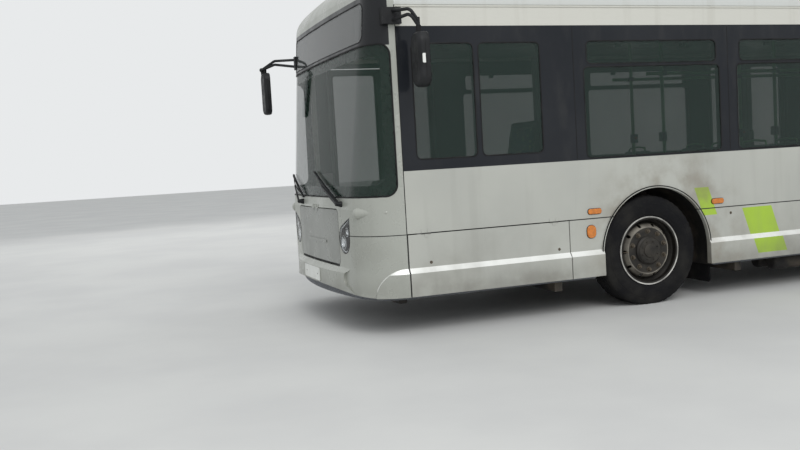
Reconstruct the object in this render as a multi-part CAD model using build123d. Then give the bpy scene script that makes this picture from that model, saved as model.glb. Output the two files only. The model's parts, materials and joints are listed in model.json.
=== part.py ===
from build123d import *
from functools import cache
import math
import os

# City bus with a low floor. Millimetres: X forward, Y to the left, Z up from the ground.
# X = 0 lies midway between the tail and the tips of the front mirrors.

# Overall sizes
FRONT_OVERHANG = 2700  # front axle to the bumper's nose
WHEELBASE = 6120
REAR_OVERHANG = 3180
MIRROR_AHEAD = 60  # how far the right mirror's arms reach past the bumper
WIDTH = 2500  # over the side walls, without the skirt's step
SKIRT_STEP = 25  # how far the skirt stands out below its bevel
ROOF_TOP_Z = 2960  # crown of the roof skin, below the roof fairings

HALF_W = WIDTH / 2
LENGTH = FRONT_OVERHANG + WHEELBASE + REAR_OVERHANG
X_FRONT = (LENGTH - MIRROR_AHEAD) / 2
X_REAR = X_FRONT - LENGTH
FRONT_AXLE_X = X_FRONT - FRONT_OVERHANG
REAR_AXLE_X = FRONT_AXLE_X - WHEELBASE

# Levels of the panel joints, from the ground up
SKIRT_Z = 302
BEVEL_LOW_Z = 485
BEVEL_TOP_Z = 525
FLAP_TOP_Z = 792
WAIST_Z = 1286
CANTRAIL_Z = 2401
GROOVE_Z = 2564
PANEL_GAP = 8  # between a lid or door and its frame
GROOVE_WIDTH = 6
GROOVE_DEPTH = 5

# Skin and wall thicknesses
WALL = 60
MASK_WALL = 50
ARCH_WALL = 30  # side panel round the wheel arches
GLASS = 6
GLASS_SETBACK = 3  # glass face behind the frame's face
GLASS_FIT = 0.3  # between a pane's edge and its frame
FLOOR_PLATE = 60

# Front mask: plan arcs at the knee and at the brow, and the dome above
MASK_SEAM_X = FRONT_AXLE_X + 2251
FACE_X = FRONT_AXLE_X + 2644
BUMPER_OUT = X_FRONT - FACE_X
KNEE_Z = 1000
BROW_Z = 2600
FACE_LEAN = 0.103  # setback for each unit of height above the knee
CORNER_RADIUS = 380
CORNER_BLEND = 33  # nose of the mask ahead of the corner arcs
BROW_CORNER_RADIUS = 160
BROW_RADIUS = 16000
DOME_SWEEP = 16  # degrees of the cap's ring that lie over the body
DOME_RADIUS = 380
DOME_PROUD = 10
CAP_CLEAR = 6  # dome cap above the crown, so that the crown alone shapes the roof
COVE_RADIUS = 300
BEND_X = MASK_SEAM_X + 25  # where the skirt's step starts to bend down to the front corner
BUMPER_END = (815, 435)  # round outer end of the bumper's step, as (y, z) seen from ahead
BUMPER_END_RADIUS = 60
BUMPER_LIP_Y = 1000
CHIN_HALF_W = 1150
CHIN_RISE = 55  # how far the bumper's lower edge is arched up at the centre
TAIL_CORNER_RADIUS = 130
TAIL_TOP_RADIUS = 200
TAIL_X = X_REAR + SKIRT_STEP
TAIL_SEAM_X = TAIL_X + 150

# Windscreen, destination sign and the front hatch
SCREEN_EDGE_X = MASK_SEAM_X + 52
SCREEN_LOW_Z = 1100
SCREEN_TOP_Z = 2275
SCREEN_CORNER = 90
SCREEN_GLASS = 8
SIGN_LOW_Z = 2305
SIGN_TOP_Z = 2610
SIGN_HALF_W = 1080
HATCH_HALF_W = 640
HATCH_LOW_Z = 545
HATCH_TOP_Z = 997
HATCH_CORNER = 40
HATCH_THICK = 25
HATCH_HINGES_Y = (-60, 60)
SCREEN_FIT = 0.3  # between the front glasses and their frame
SCREEN_SETBACK = 3
SIGN_CORNER = 60
DISPLAY_HALF_W = 780
DISPLAY_DEPTH = 60
DISPLAY_GAP = 25
DISPLAY_BRACKET = 400  # bracket's length before the brow cuts it off
DISPLAY_BRACKET_Y = 546
DISPLAY_BRACKET_WIDTH = 60
SLOT_HALF_W = 620
SLOT_HEIGHT = 14
SLOT_DEPTH = 20
TRIM_HALF_W = 300
TRIM_Z = 717
TRIM_HEIGHT = 26
TRIM_OUT = 8

# Headlamps and indicator pods, as (y, z) seen from ahead
LAMP_CENTRE = (775, 760)
LAMP_RADIUS = 112
LAMP_TIP = (900, 930)
LAMP_FIT = 0.3
LAMP_DEPTH = 45
POD_CENTRE = (1025, 975)
POD_RADIUS = 48
POD_OUT = 34
POD_TAIL_Y = 1205
POD_TAIL_RADIUS = 18

# Wipers: pivot y, arm tip y and z, blade length
WIPERS = (
    (740, 330, 1190, 760),
    (-480, -700, 1190, 620),
)
WIPER_PIVOT_Z = 1045
WIPER_OUT = 46
WIPER_BLADE_OUT = 14
WIPER_POST_RADIUS = 16
WIPER_POST_SINK = 4
WIPER_ARM_RADIUS = 8
WIPER_JOINT_RADIUS = 9
BLADE_RADIUS = 7
BLADE_SLOPE = (0.94, -0.34)

# Mirrors: pairs of tubular arms, and heads whose sizes are (depth, width, height)
MIRROR_ARM_RADIUS = 13
MIRROR_ARM_BEND = 45
MIRROR_ARM_SPREAD = 36  # half the distance between the two arms at their root
MIRROR_ROOT_AHEAD = 35
MIRROR_ARM_Z = 2475
MIRROR_BRACKET = (150, 90, 125)
MIRROR_LEFT_HEAD = (FRONT_AXLE_X + 2149, 1480, 2117)
MIRROR_LEFT_SIZE = (80, 190, 410)
MIRROR_RIGHT_HEAD = (X_FRONT + 8, -1465, 2140)
MIRROR_RIGHT_SIZE = (60, 180, 430)
MIRROR_RIGHT_FOOT_Y = -1070
MIRROR_RIGHT_ARM_Z = 2402
MIRROR_FOOT = (70, 60, 130)
MIRROR_ELBOW_RADIUS = 22
MIRROR_ELBOW_Z = 2385

# Floor levels and places
FLOOR_Z = 340
REAR_FLOOR_Z = 520
ENGINE_DECK_Z = 1180
STEP_X = FRONT_AXLE_X - 4420
DECK_X = X_REAR + 1500
CAB_FLOOR_Z = 520

# Wheels
TYRE_RADIUS = 478
TYRE_WIDTH = 275
TYRE_SEAT_RADIUS = 286
TYRE_PROFILE = (  # share of the wall's height, share of the half width
    (0.0, 0.78), (0.08, 0.78), (0.13, 0.88), (0.38, 1.0),
    (0.62, 0.98), (0.86, 0.90), (0.97, 0.80), (1.0, 0.66),
)
RIM_LIP_RADIUS = 298
WHEEL_FACE_Y = 1235
TWIN_GAP = 40
AXLE_Z = 468
KINGPIN_Y = 985
ARCH_RADIUS = 545
ARCH_SHIFT = -60  # front arch centre behind the axle
ARCH_LIP = 16
ARCH_LIP_OUT = 10
ARCH_HOUSE_RADIUS = 610  # inside the wheel housings
HOUSE_SHEET = 12
FRONT_HOUSE_Y = 590  # inner face of the front wheel housings
REAR_HOUSE_Y = 575
HOUSE_FIT = 0.3

# Windows of the sides, as places behind the front axle
BAY_PITCH = 1570
BAY_FIRST_X = FRONT_AXLE_X - 85
BAY_COUNT = 6
PANE_WIDTH = 1382
PANE_LOW_Z = 1300
PANE_TOP_Z = 2060
HOPPER_WIDTH = 1317
HOPPER_LOW_Z = 2082
HOPPER_TOP_Z = 2272
PANE_CORNER = 45
CAB_PANES = (  # front and rear edge of the driver's panes
    (FRONT_AXLE_X + 2130, FRONT_AXLE_X + 1606),
    (FRONT_AXLE_X + 1563, FRONT_AXLE_X + 1013),
)
CAB_PANE_LOW_Z = 1370
CAB_PANE_TOP_Z = 2268
SKIRT_JOINTS_X = (FRONT_AXLE_X - 2440, FRONT_AXLE_X - 4010, REAR_AXLE_X - 1200, REAR_AXLE_X + 900)

# Doors on the right
DOOR_WIDTH = 1200
DOOR_SILL_Z = 340
DOOR_HEAD_Z = 2352
DOOR_THICK = 40
DOOR_MEET_GAP = 16  # between two closed leaves, for their corners as they swing
DOOR_BORDER = 58
DOOR_PANE_CORNER = 35
DOOR_ARM_IN = 70
DOOR_ARM_HEIGHT = 30
DOOR_GRIP_OUT = 45
DOOR_GRIP_Z = (900, 1500)
DOOR_GRIP_RADIUS = 12
DOOR_GRIP_BEND = 30
SHAFT_RADIUS = 18
SHAFT_IN = 25  # shaft centre from the jamb
SHAFT_Y = -(HALF_W - 72)
DOORS = (  # name, centre along the bus
    ("front_door", FRONT_AXLE_X + 1530),
    ("mid_door", BAY_FIRST_X - 2 * BAY_PITCH),
)

# Service flap low on the left, ahead of the front wheel
FLAP_REAR_X = FRONT_AXLE_X + 810
FLAP_FRONT_X = MASK_SEAM_X - PANEL_GAP
FLAP_THICK = 30

# What stands on the roof: rear end, front end, half width, top
ROOF_UNITS = (
    (FRONT_AXLE_X - 1500, FRONT_AXLE_X - 600, 380, ROOF_TOP_Z + 55),
    (REAR_AXLE_X + 1500, REAR_AXLE_X + 2400, 380, ROOF_TOP_Z + 55),
    (X_REAR + 300, REAR_AXLE_X + 300, 780, ROOF_TOP_Z + 110),
)
ROOF_UNIT_CORNER = 90
ROOF_UNIT_CHAMFER = 25

# Engine lid and rear window
LID_HALF_W = 930
LID_LOW_Z = 640
LID_TOP_Z = 1420
REAR_GLASS_HALF_W = 900
REAR_GLASS_LOW_Z = 1560
REAR_GLASS_TOP_Z = 2230
REAR_GLASS_CORNER = 80
LID_CORNER = 40
LID_HINGES_Y = (-600, 600)
LID_THICK = 25
BUMPER_TOP_Z = 600
LOUVRE_BANKS_Y = (-450, 450)
LOUVRE_COUNT = 9
LOUVRE_LOW_Z = 900
LOUVRE_PITCH = 50
LOUVRE_WIDTH = 760
LOUVRE_SLOT = 18
LOUVRE_TILT = 35

# Lamps on the tail and the sides
TAIL_LAMP_Y = 1070
TAIL_LAMP_Z = (760, 900, 1040, 1180)
TAIL_LAMP_RADIUS = 55
TAIL_LAMP_OUT = 14
SIDE_LAMP_OUT = 12
SIDE_LAMPS = (  # place along, height, length, height of the lamp
    (FRONT_AXLE_X + 558, 851, 130, 45),
    (FRONT_AXLE_X - 708, 851, 130, 45),
    (FRONT_AXLE_X - 2300, 851, 130, 45),
    (FRONT_AXLE_X - 4000, 851, 130, 45),
    (REAR_AXLE_X - 900, 851, 130, 45),
    (FRONT_AXLE_X + 597, 682, 86, 108),
)

FLOOR_BOARDS = (  # rear end, front end, underside, top
    (STEP_X, X_FRONT, FLOOR_Z - FLOOR_PLATE, FLOOR_Z),
    (STEP_X - FLOOR_PLATE, STEP_X, FLOOR_Z - FLOOR_PLATE, REAR_FLOOR_Z),
    (DECK_X, STEP_X - FLOOR_PLATE, REAR_FLOOR_Z - FLOOR_PLATE, REAR_FLOOR_Z),
    (DECK_X - FLOOR_PLATE, DECK_X, REAR_FLOOR_Z - FLOOR_PLATE, ENGINE_DECK_Z),
    (X_REAR, DECK_X - FLOOR_PLATE, ENGINE_DECK_Z - FLOOR_PLATE, ENGINE_DECK_Z),
)

# Rails under the floor
RAIL_Y = 480
RAIL_WIDTH = 70
RAIL_HEIGHT = 80
RAIL_MIDDLE_Z = REAR_FLOOR_Z - FLOOR_PLATE - HOUSE_FIT
RAIL_LOW_Z = FLOOR_Z - FLOOR_PLATE - HOUSE_FIT
RISER_X = STEP_X - FLOOR_PLATE - HOUSE_FIT
RAILS = (  # rear end, front end, underside, top
    (FRONT_AXLE_X + 200, FACE_X - 420, RAIL_LOW_Z - RAIL_HEIGHT, RAIL_LOW_Z),
    (RISER_X - RAIL_WIDTH, FRONT_AXLE_X - 200, RAIL_LOW_Z - RAIL_HEIGHT, RAIL_LOW_Z),
    (RISER_X - RAIL_WIDTH, RISER_X, RAIL_LOW_Z + HOUSE_FIT, RAIL_MIDDLE_Z),
    (X_REAR + 150, RISER_X - RAIL_WIDTH - HOUSE_FIT, RAIL_MIDDLE_Z - RAIL_HEIGHT, RAIL_MIDDLE_Z),
)
WALL_REACH = HALF_W - WALL - HOUSE_FIT
ROD_CROSS_X = FRONT_AXLE_X - 960
CROSS_MEMBERS = (  # place along, top, half length
    (FACE_X - 455, RAIL_LOW_Z, 900),
    (FRONT_AXLE_X + 900, RAIL_LOW_Z, WALL_REACH),
    (ROD_CROSS_X, RAIL_LOW_Z, WALL_REACH),
    (FRONT_AXLE_X - 2700, RAIL_LOW_Z, WALL_REACH),
    (STEP_X + 40, RAIL_LOW_Z, WALL_REACH),
    (REAR_AXLE_X + 900, RAIL_MIDDLE_Z, WALL_REACH),
    (REAR_AXLE_X - 900, RAIL_MIDDLE_Z, WALL_REACH),
    (X_REAR + 200, RAIL_MIDDLE_Z, WALL_REACH - 60),
)

# Front axle, kingpins and knuckles
BEAM_TOP_Z = 258
BEAM_HEIGHT = 80
BEAM_DEPTH = 120
YOKE_IN_Y = 840
YOKE_OUT_Y = 900
YOKE_HALF = 45
EAR_LOW_Z = 330
EAR_TOP_Z = 606
BARREL_LOW_Z = 384
BARREL_TOP_Z = 552
BARREL_RADIUS = 44
EAR_FIT = 0.5
KINGPIN_RADIUS = 20
BORE_FIT = 0.3
SPINDLE_RADIUS = 42
FLANGE_RADIUS = 70
FLANGE_IN = 10
FLANGE_OUT = 50
ROD_RADIUS = 22
ROD_END_Z = 232
SLOPE_FIT = 1.2  # square end of a slightly sloping bar clear of the face it meets

# Rear axle
PORTAL_Z = 290
PORTAL_RADIUS = 62
PORTAL_Y = 636
RISER_WIDTH = 50
DIFF_RADIUS = 130
STUB_RADIUS = 70
PROP_RADIUS = 45
PROP_Z = 330
BELLOWS_X = 330
BELLOWS_RADIUS = 110
BELLOWS_DROP = 20
BELLOWS_ARM_RADIUS = 35

# Rims
RIM_WELL_RADIUS = 262
RIM_SHEET = 12
DISC_RADIUS = 205
DISC_SHEET = 14
FRONT_DISC_IN = 40
REAR_DISC_IN = 150
HUB_RADIUS = 125
FRONT_HUB_OUT = 25
REAR_HUB_OUT = 40
HUB_CAP = 12
HUB_BEVEL = 15
HUB_DEPTH = 190
HUB_END_FIT = 5
SPINDLE_TIP_Y = WHEEL_FACE_Y - FRONT_DISC_IN + FRONT_HUB_OUT - HUB_CAP - HUB_END_FIT
REAR_STUB_Y = WHEEL_FACE_Y - REAR_DISC_IN + REAR_HUB_OUT - HUB_CAP - HUB_END_FIT
HAND_HOLES = 10
HAND_HOLE_PCR = 223
HAND_HOLE_RADIUS = 15

# Engine, a plain block at its real place
ENGINE_REAR_X = X_REAR + 240
ENGINE_FRONT_X = X_REAR + 1400
ENGINE_HALF_W = 430
ENGINE_LOW_Z = 300
ENGINE_TOP_Z = ENGINE_DECK_Z - FLOOR_PLATE - 20

# Tanks under the low floor: rear end, front end, y, z, radius
AIR_TANKS = (
    (FRONT_AXLE_X - 2500, FRONT_AXLE_X - 1500, 800, 205, 68),
    (FRONT_AXLE_X - 2500, FRONT_AXLE_X - 1500, 1000, 205, 68),
    (FRONT_AXLE_X - 4100, FRONT_AXLE_X - 3000, 850, 205, 68),
)

TANK_STRAP = 40

# Saloon: seat rows as place along, floor level, places across
SEAT_WIDTH = 430
SEAT_PROFILE = (  # ahead of the seat's place, above the floor
    (210, 440), (-190, 400), (-290, 980), (-250, 985), (-150, 450), (210, 480),
)
SEAT_EDGE = 14
SEAT_LEG_X = (-60, 20)
SEAT_LEG_HALF_W = 40
SEAT_LEG_TOP = 425
SEAT_ROWS = (
    (FRONT_AXLE_X - 1150, FLOOR_Z, (940, 490)),
    (FRONT_AXLE_X - 1950, FLOOR_Z, (940, 490)),
    (FRONT_AXLE_X - 3400, FLOOR_Z, (940,)),
    (FRONT_AXLE_X - 1150, FLOOR_Z, (-940,)),
    (FRONT_AXLE_X - 1950, FLOOR_Z, (-940,)),
    (REAR_AXLE_X + 1150, REAR_FLOOR_Z, (940, 490, -490, -940)),
    (REAR_AXLE_X - 900, REAR_FLOOR_Z, (940, 490, -490, -940)),
    (X_REAR + 900, ENGINE_DECK_Z, (940, 490, 0, -490, -940)),
)
POLES = (  # x, y, floor level
    (FRONT_AXLE_X - 900, 260, FLOOR_Z),
    (FRONT_AXLE_X - 2300, 260, FLOOR_Z),
    (FRONT_AXLE_X - 3700, 260, FLOOR_Z),
    (REAR_AXLE_X + 800, 260, REAR_FLOOR_Z),
    (REAR_AXLE_X - 1200, 260, REAR_FLOOR_Z),
    (FRONT_AXLE_X - 900, -260, FLOOR_Z),
    (FRONT_AXLE_X - 2300, -260, FLOOR_Z),
    (FRONT_AXLE_X - 4200, -260, FLOOR_Z),
    (REAR_AXLE_X + 800, -260, REAR_FLOOR_Z),
    (REAR_AXLE_X - 1200, -260, REAR_FLOOR_Z),
)
POLE_RADIUS = 17
RAIL_Z = 2080
RAIL_END = 200  # rail past the last pole

# Driver's place
CAB_REAR_X = FRONT_AXLE_X + 560
CAB_FRONT_X = FACE_X - 415
CAB_INNER_Y = 330
CAB_SHEET = 25
CAB_WALL_TOP_Z = 2250
CAB_GATE_TOP_Z = 1300
CAB_WINDOW_LOW_Z = 1350
CAB_WINDOW_BORDER = 65
CAB_WINDOW_CORNER = 30
CAB_GATE_FRONT_X = CAB_FRONT_X - 500
DRIVER_SEAT = (FRONT_AXLE_X + 1150, 760, CAB_FLOOR_Z)
DRIVER_SEAT_PROFILE = (  # ahead of the seat's place, above the cab's floor
    (260, 430), (-200, 380), (-330, 1120), (-230, 1130), (-130, 520), (260, 540),
)
DRIVER_SEAT_EDGE = 30
DRIVER_SEAT_HALF_W = 240
DRIVER_SEAT_BASE = (160, 130, 420)  # half length, half width, height
DASH_REAR_X = FACE_X - 560
DASH_RIGHT_Y = 150
DASH_LOW_Z = 700
DASH_PROFILE = (
    (DASH_REAR_X, 880), (DASH_REAR_X - 40, 1060), (DASH_REAR_X + 60, 1130),
    (X_FRONT, 1080), (X_FRONT, DASH_LOW_Z), (DASH_REAR_X + 120, DASH_LOW_Z),
)
DASH_EDGE = 25
DASH_LEG_X = DASH_REAR_X + 150
DASH_LEG_Y = DASH_RIGHT_Y + 40
STEERING_WHEEL = (FRONT_AXLE_X + 1860, 760, 1230)
STEER_WHEEL_RADIUS = 225
STEER_TILT = 25
STEER_RING_RADIUS = 15
STEER_SPOKE = (34, 12)
STEER_HUB = (55, 36)
COLUMN_LENGTH = 850
COLUMN_RADIUS = 34

# Barrel hinges of the flap, the hatch and the engine lid
HINGE_RADIUS = 5
HINGE_PIN_RADIUS = 2.5
HINGE_OUT = 3  # barrel's centre outside the skin
HINGE_LUG = 26
HINGE_LEAF = 26
HINGE_SIDE_FIT = 0.5

# Towing socket under the front bumper, and the number plate's pad
TOW_Y = -750
TOW_Z = 240
TOW_RADIUS = 35
TOW_BORE_RADIUS = 16.5
TOW_BORE_DEPTH = 110
TOW_TIP_X = X_FRONT - 215
PLATE_Y = -40
PLATE_Z = 425
PLATE_WIDTH = 530
PLATE_HEIGHT = 120
PLATE_CORNER = 8


def block(x0, x1, y0, y1, z0, z1):
    box = Box(abs(x1 - x0), abs(y1 - y0), abs(z1 - z0))
    return Pos((x0 + x1) / 2, (y0 + y1) / 2, (z0 + z1) / 2) * box


def prism_x(face, x0, x1):
    """A face drawn as (y, z), carried from x0 to x1."""
    return extrude(Plane((x0, 0, 0), x_dir=(0, 1, 0), z_dir=(1, 0, 0)) * face, amount=x1 - x0)


def prism_y(face, y0, y1):
    """A face drawn as (x, z), carried from y1 down to y0."""
    return extrude(Plane((0, y1, 0), x_dir=(1, 0, 0), z_dir=(0, -1, 0)) * face, amount=y1 - y0)


def prism_z(face, z0, z1):
    return extrude(Pos(0, 0, z0) * face, amount=z1 - z0)


def polygon(*points):
    return make_face(Polyline(*points, close=True))


def rounded_rect(u0, u1, v0, v1, radius):
    return Pos((u0 + u1) / 2, (v0 + v1) / 2) * RectangleRounded(u1 - u0, v1 - v0, radius)


def rod(start, end, radius):
    """A round bar from start to end."""
    start = Vector(*start)
    along = Vector(*end) - start
    bar = Cylinder(radius, along.length, align=(Align.CENTER, Align.CENTER, Align.MIN))
    return Plane(start, z_dir=along) * bar


def pipe(points, radius, bend):
    """A tube's outer shape along straight runs joined by arcs."""
    path = FilletPolyline(*points, radius=bend)
    start = Plane(path @ 0, z_dir=path % 0)
    return sweep(start * Circle(radius), path=path)


def merged(pieces):
    whole = pieces[0]
    for piece in pieces[1:]:
        whole = whole + piece
    return whole


def mirrored_y(shape):
    return mirror(shape, about=Plane.XZ)


def both_sides(shape):
    return [shape, mirrored_y(shape)]


def corner_centre_x():
    return FACE_X - CORNER_RADIUS - CORNER_BLEND


def wide_radius(face_x, corner_radius, half):
    """Radius of the nose's wide arc that meets both corner arcs smoothly."""
    centre_y = half - corner_radius
    reach = face_x - corner_centre_x()
    return (centre_y**2 + reach**2 - corner_radius**2) / (2 * (reach - corner_radius))


def plan(inset, face_x, corner_radius, out=0):
    """Plan outline: a wide arc and two corner arcs at the nose, straight sides, round tail corners."""
    half = HALF_W + out
    centre_y = half - corner_radius
    centre_x = corner_centre_x()
    wide = wide_radius(face_x, corner_radius, half)
    lean = math.atan2(centre_y, centre_x - (face_x - wide))
    radius = corner_radius - inset
    join_x = centre_x + radius * math.cos(lean)
    join_y = centre_y + radius * math.sin(lean)
    middle = (lean + math.pi / 2) / 2
    mid_x = centre_x + radius * math.cos(middle)
    mid_y = centre_y + radius * math.sin(middle)
    side_y = half - inset
    tail_x = TAIL_X - out + inset
    tail_radius = TAIL_CORNER_RADIUS - inset
    tail_centre_x = tail_x + tail_radius
    tail_centre_y = side_y - tail_radius
    diagonal = tail_radius * math.cos(math.pi / 4)
    tail_mid_x = tail_centre_x - diagonal
    tail_mid_y = tail_centre_y + diagonal
    return make_face(
        [
            ThreePointArc((join_x, -join_y), (face_x - inset, 0), (join_x, join_y)),
            ThreePointArc((join_x, join_y), (mid_x, mid_y), (centre_x, side_y)),
            Line((centre_x, side_y), (tail_centre_x, side_y)),
            ThreePointArc((tail_centre_x, side_y), (tail_mid_x, tail_mid_y), (tail_x, tail_centre_y)),
            Line((tail_x, tail_centre_y), (tail_x, -tail_centre_y)),
            ThreePointArc((tail_x, -tail_centre_y), (tail_mid_x, -tail_mid_y), (tail_centre_x, -side_y)),
            Line((tail_centre_x, -side_y), (centre_x, -side_y)),
            ThreePointArc((centre_x, -side_y), (mid_x, -mid_y), (join_x, -join_y)),
        ]
    )


def cross_section(inset):
    """Section of the body across the bus: upright sides, coves and a shallow crown."""
    cove_y = HALF_W - COVE_RADIUS
    rise = ROOF_TOP_Z - GROOVE_Z
    crown = (cove_y**2 + rise**2 - COVE_RADIUS**2) / (2 * (rise - COVE_RADIUS))
    tilt = math.atan2(cove_y, GROOVE_Z - ROOF_TOP_Z + crown)
    radius = COVE_RADIUS - inset
    join_y = cove_y + radius * math.sin(tilt)
    join_z = GROOVE_Z + radius * math.cos(tilt)
    middle = (tilt + math.pi / 2) / 2
    mid_y = cove_y + radius * math.sin(middle)
    mid_z = GROOVE_Z + radius * math.cos(middle)
    side_y = HALF_W + SKIRT_STEP + BUMPER_OUT
    wall_y = HALF_W - inset
    return make_face(
        [
            ThreePointArc((join_y, join_z), (0, ROOF_TOP_Z - inset), (-join_y, join_z)),
            ThreePointArc((-join_y, join_z), (-mid_y, mid_z), (-wall_y, GROOVE_Z)),
            Line((-wall_y, GROOVE_Z), (-side_y, GROOVE_Z - SKIRT_STEP)),
            Line((-side_y, GROOVE_Z - SKIRT_STEP), (-side_y, 0)),
            Line((-side_y, 0), (side_y, 0)),
            Line((side_y, 0), (side_y, GROOVE_Z - SKIRT_STEP)),
            Line((side_y, GROOVE_Z - SKIRT_STEP), (wall_y, GROOVE_Z)),
            ThreePointArc((wall_y, GROOVE_Z), (mid_y, mid_z), (join_y, join_z)),
        ]
    )


def dome_cap(inset):
    """Turned cap, with its axis on the centre of the brow's arc, that rounds the roof into the face."""
    brow_x = FACE_X - FACE_LEAN * (BROW_Z - KNEE_Z)
    axis_x = brow_x - BROW_RADIUS
    rim = BROW_RADIUS + DOME_PROUD
    low = ROOF_TOP_Z + CAP_CLEAR - DOME_RADIUS
    radius = DOME_RADIUS - inset
    mid = (rim - DOME_RADIUS + radius * math.cos(math.pi / 4), low + radius * math.sin(math.pi / 4))
    outer = rim + 2 * DOME_RADIUS
    edge = [
        Line((0, 0), (outer, 0)),
        Line((outer, 0), (rim - inset, low)),
        ThreePointArc((rim - inset, low), mid, (rim - DOME_RADIUS, low + radius)),
        Line((rim - DOME_RADIUS, low + radius), (0, low + radius)),
        Line((0, low + radius), (0, 0)),
    ]
    start = Plane((axis_x, 0, 0), x_dir=(1, 0, 0), z_dir=(0, -1, 0)).rotated((0, 0, -DOME_SWEEP / 2))
    return revolve(start * make_face(edge), Axis((axis_x, 0, 0), (0, 0, 1)), DOME_SWEEP)


def corner_region(grow):
    """Where the skirt's step is let back: behind the bumper's round end and ahead of the bend."""
    low_z = SKIRT_Z - BEVEL_TOP_Z
    bend = BEVEL_TOP_Z - SKIRT_Z
    far_x = 2 * X_FRONT
    ahead = Rectangle(far_x - BEND_X + 2 * grow, BEVEL_TOP_Z)
    ahead = Pos((BEND_X + far_x) / 2, BEVEL_TOP_Z / 2) * ahead - Pos(BEND_X, SKIRT_Z) * Circle(bend - grow)
    end_y, end_z = BUMPER_END
    radius = BUMPER_END_RADIUS + grow
    lip_y = BUMPER_LIP_Y - grow
    end = Pos(end_y, end_z) * Circle(radius)
    wide = polygon((end_y, end_z + radius), (end_y + radius, BEVEL_TOP_Z), (WIDTH, BEVEL_TOP_Z),
                   (WIDTH, low_z), (lip_y, low_z), (lip_y, SKIRT_Z), (end_y, end_z - radius))
    return both_sides(prism_y(ahead, 0, WIDTH) & prism_x(end + wide, 0, far_x))


@cache
def envelope(inset):
    """The whole body's outer form, drawn in by inset. Every outer panel is cut from it on its real joints."""
    top_z = ROOF_TOP_Z + COVE_RADIUS
    skirt = plan(inset, FACE_X + BUMPER_OUT, CORNER_RADIUS, SKIRT_STEP)
    belt = plan(inset, FACE_X, CORNER_RADIUS)
    brow = plan(inset, FACE_X - FACE_LEAN * (top_z - KNEE_Z), BROW_CORNER_RADIUS)
    low = prism_z(skirt, 0, BEVEL_LOW_Z)
    bevel = loft([Pos(0, 0, BEVEL_LOW_Z) * skirt, Pos(0, 0, BEVEL_TOP_Z) * belt], ruled=True)
    middle = prism_z(belt, BEVEL_TOP_Z, KNEE_Z)
    high = loft([Pos(0, 0, KNEE_Z) * belt, Pos(0, 0, top_z) * brow], ruled=True)
    stepped = low + bevel
    for corner in corner_region(inset):
        stepped = stepped - corner
    whole = merged([stepped, prism_z(belt, 0, BEVEL_TOP_Z), middle, high])
    whole = whole & prism_x(cross_section(inset), X_REAR - WALL, X_FRONT + WALL)
    tail_end_x = X_REAR - SKIRT_STEP + inset
    tail_top_z = ROOF_TOP_Z + CAP_CLEAR - inset
    tail = rounded_rect(tail_end_x, X_FRONT + LENGTH, -LENGTH, tail_top_z, TAIL_TOP_RADIUS - inset)
    whole = whole & prism_y(tail, -WIDTH, WIDTH)
    front = whole & block(MASK_SEAM_X - DOME_RADIUS, X_FRONT + WALL, -WIDTH, WIDTH, -1, top_z)
    back = whole & block(X_REAR - WALL, MASK_SEAM_X - DOME_RADIUS, -WIDTH, WIDTH, -1, top_z)
    return back + (front & dome_cap(inset))


def belt_at(z):
    """Nose centre and corner radius at a height, as the lofted form has them."""
    if z <= KNEE_Z:
        return FACE_X, CORNER_RADIUS
    share = (z - KNEE_Z) / (ROOF_TOP_Z + COVE_RADIUS - KNEE_Z)
    return FACE_X - FACE_LEAN * (z - KNEE_Z), CORNER_RADIUS + share * (BROW_CORNER_RADIUS - CORNER_RADIUS)


def skin_x(y, z):
    """Where the nose's skin lies at a place on the front, as seen from ahead."""
    face_x, corner = belt_at(z)
    wide = wide_radius(face_x, corner, HALF_W)
    across = abs(y)
    on_wide = face_x - wide + math.sqrt(wide**2 - across**2)
    beyond = across - (HALF_W - corner)
    if beyond <= 0:
        return on_wide
    return min(on_wide, corner_centre_x() + math.sqrt(max(corner**2 - beyond**2, 0)))


def arch_outline(axle_x, radius):
    """Wheel arch seen from the side: a half circle over upright sides."""
    round_top = Pos(axle_x, AXLE_Z) * Circle(radius)
    legs = Pos(axle_x, AXLE_Z / 2) * Rectangle(2 * radius, AXLE_Z)
    return round_top + legs


def front_arch_x():
    return FRONT_AXLE_X + ARCH_SHIFT


def box_band(x0, x1, z0, z1):
    """A cutting box over the full width."""
    return block(x0, x1, -WIDTH, WIDTH, z0, z1)


def side_half(x0, x1, z0, z1):
    """A cutting box that holds the left wall only."""
    return block(x0, x1, HALF_W / 2, WIDTH, z0, z1)


def seam_groove(x0, x1, z, side):
    """Cutter for a level joint line in a side wall."""
    low = z - GROOVE_WIDTH / 2
    inner_y = side * (HALF_W - GROOVE_DEPTH)
    return block(x0, x1, inner_y, side * (HALF_W + 2 * SKIRT_STEP), low, low + GROOVE_WIDTH)


def hinge(place, along):
    """Barrel hinge in the gap at place, as its fixed and its moving half. Outward is to the left of along."""
    frame = Plane(place, x_dir=along, z_dir=(0, 0, 1))
    lug_in = HINGE_LUG / 2 + HINGE_SIDE_FIT
    lug_out = lug_in + HINGE_LUG
    gap = PANEL_GAP / 2

    def barrel(x0, x1, radius):
        return rod((x0, HINGE_OUT, 0), (x1, HINGE_OUT, 0), radius)

    lugs = [barrel(-lug_out, -lug_in, HINGE_RADIUS), barrel(lug_in, lug_out, HINGE_RADIUS)]
    leaves = []
    for x0 in (-lug_out, lug_in):
        leaves.append(block(x0, x0 + HINGE_LUG, -HINGE_OUT, HINGE_OUT, gap, gap + HINGE_LEAF))
    fixed = merged(lugs + leaves + [barrel(-lug_out, lug_out, HINGE_PIN_RADIUS)])
    half = HINGE_LUG / 2
    leaf = block(-half, half, -HINGE_OUT, HINGE_OUT, -gap - HINGE_LEAF, -gap)
    moving = barrel(-half, half, HINGE_RADIUS) + leaf
    moving = moving - barrel(-half - 1, half + 1, HINGE_PIN_RADIUS + BORE_FIT)
    return frame * fixed, frame * moving


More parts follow.
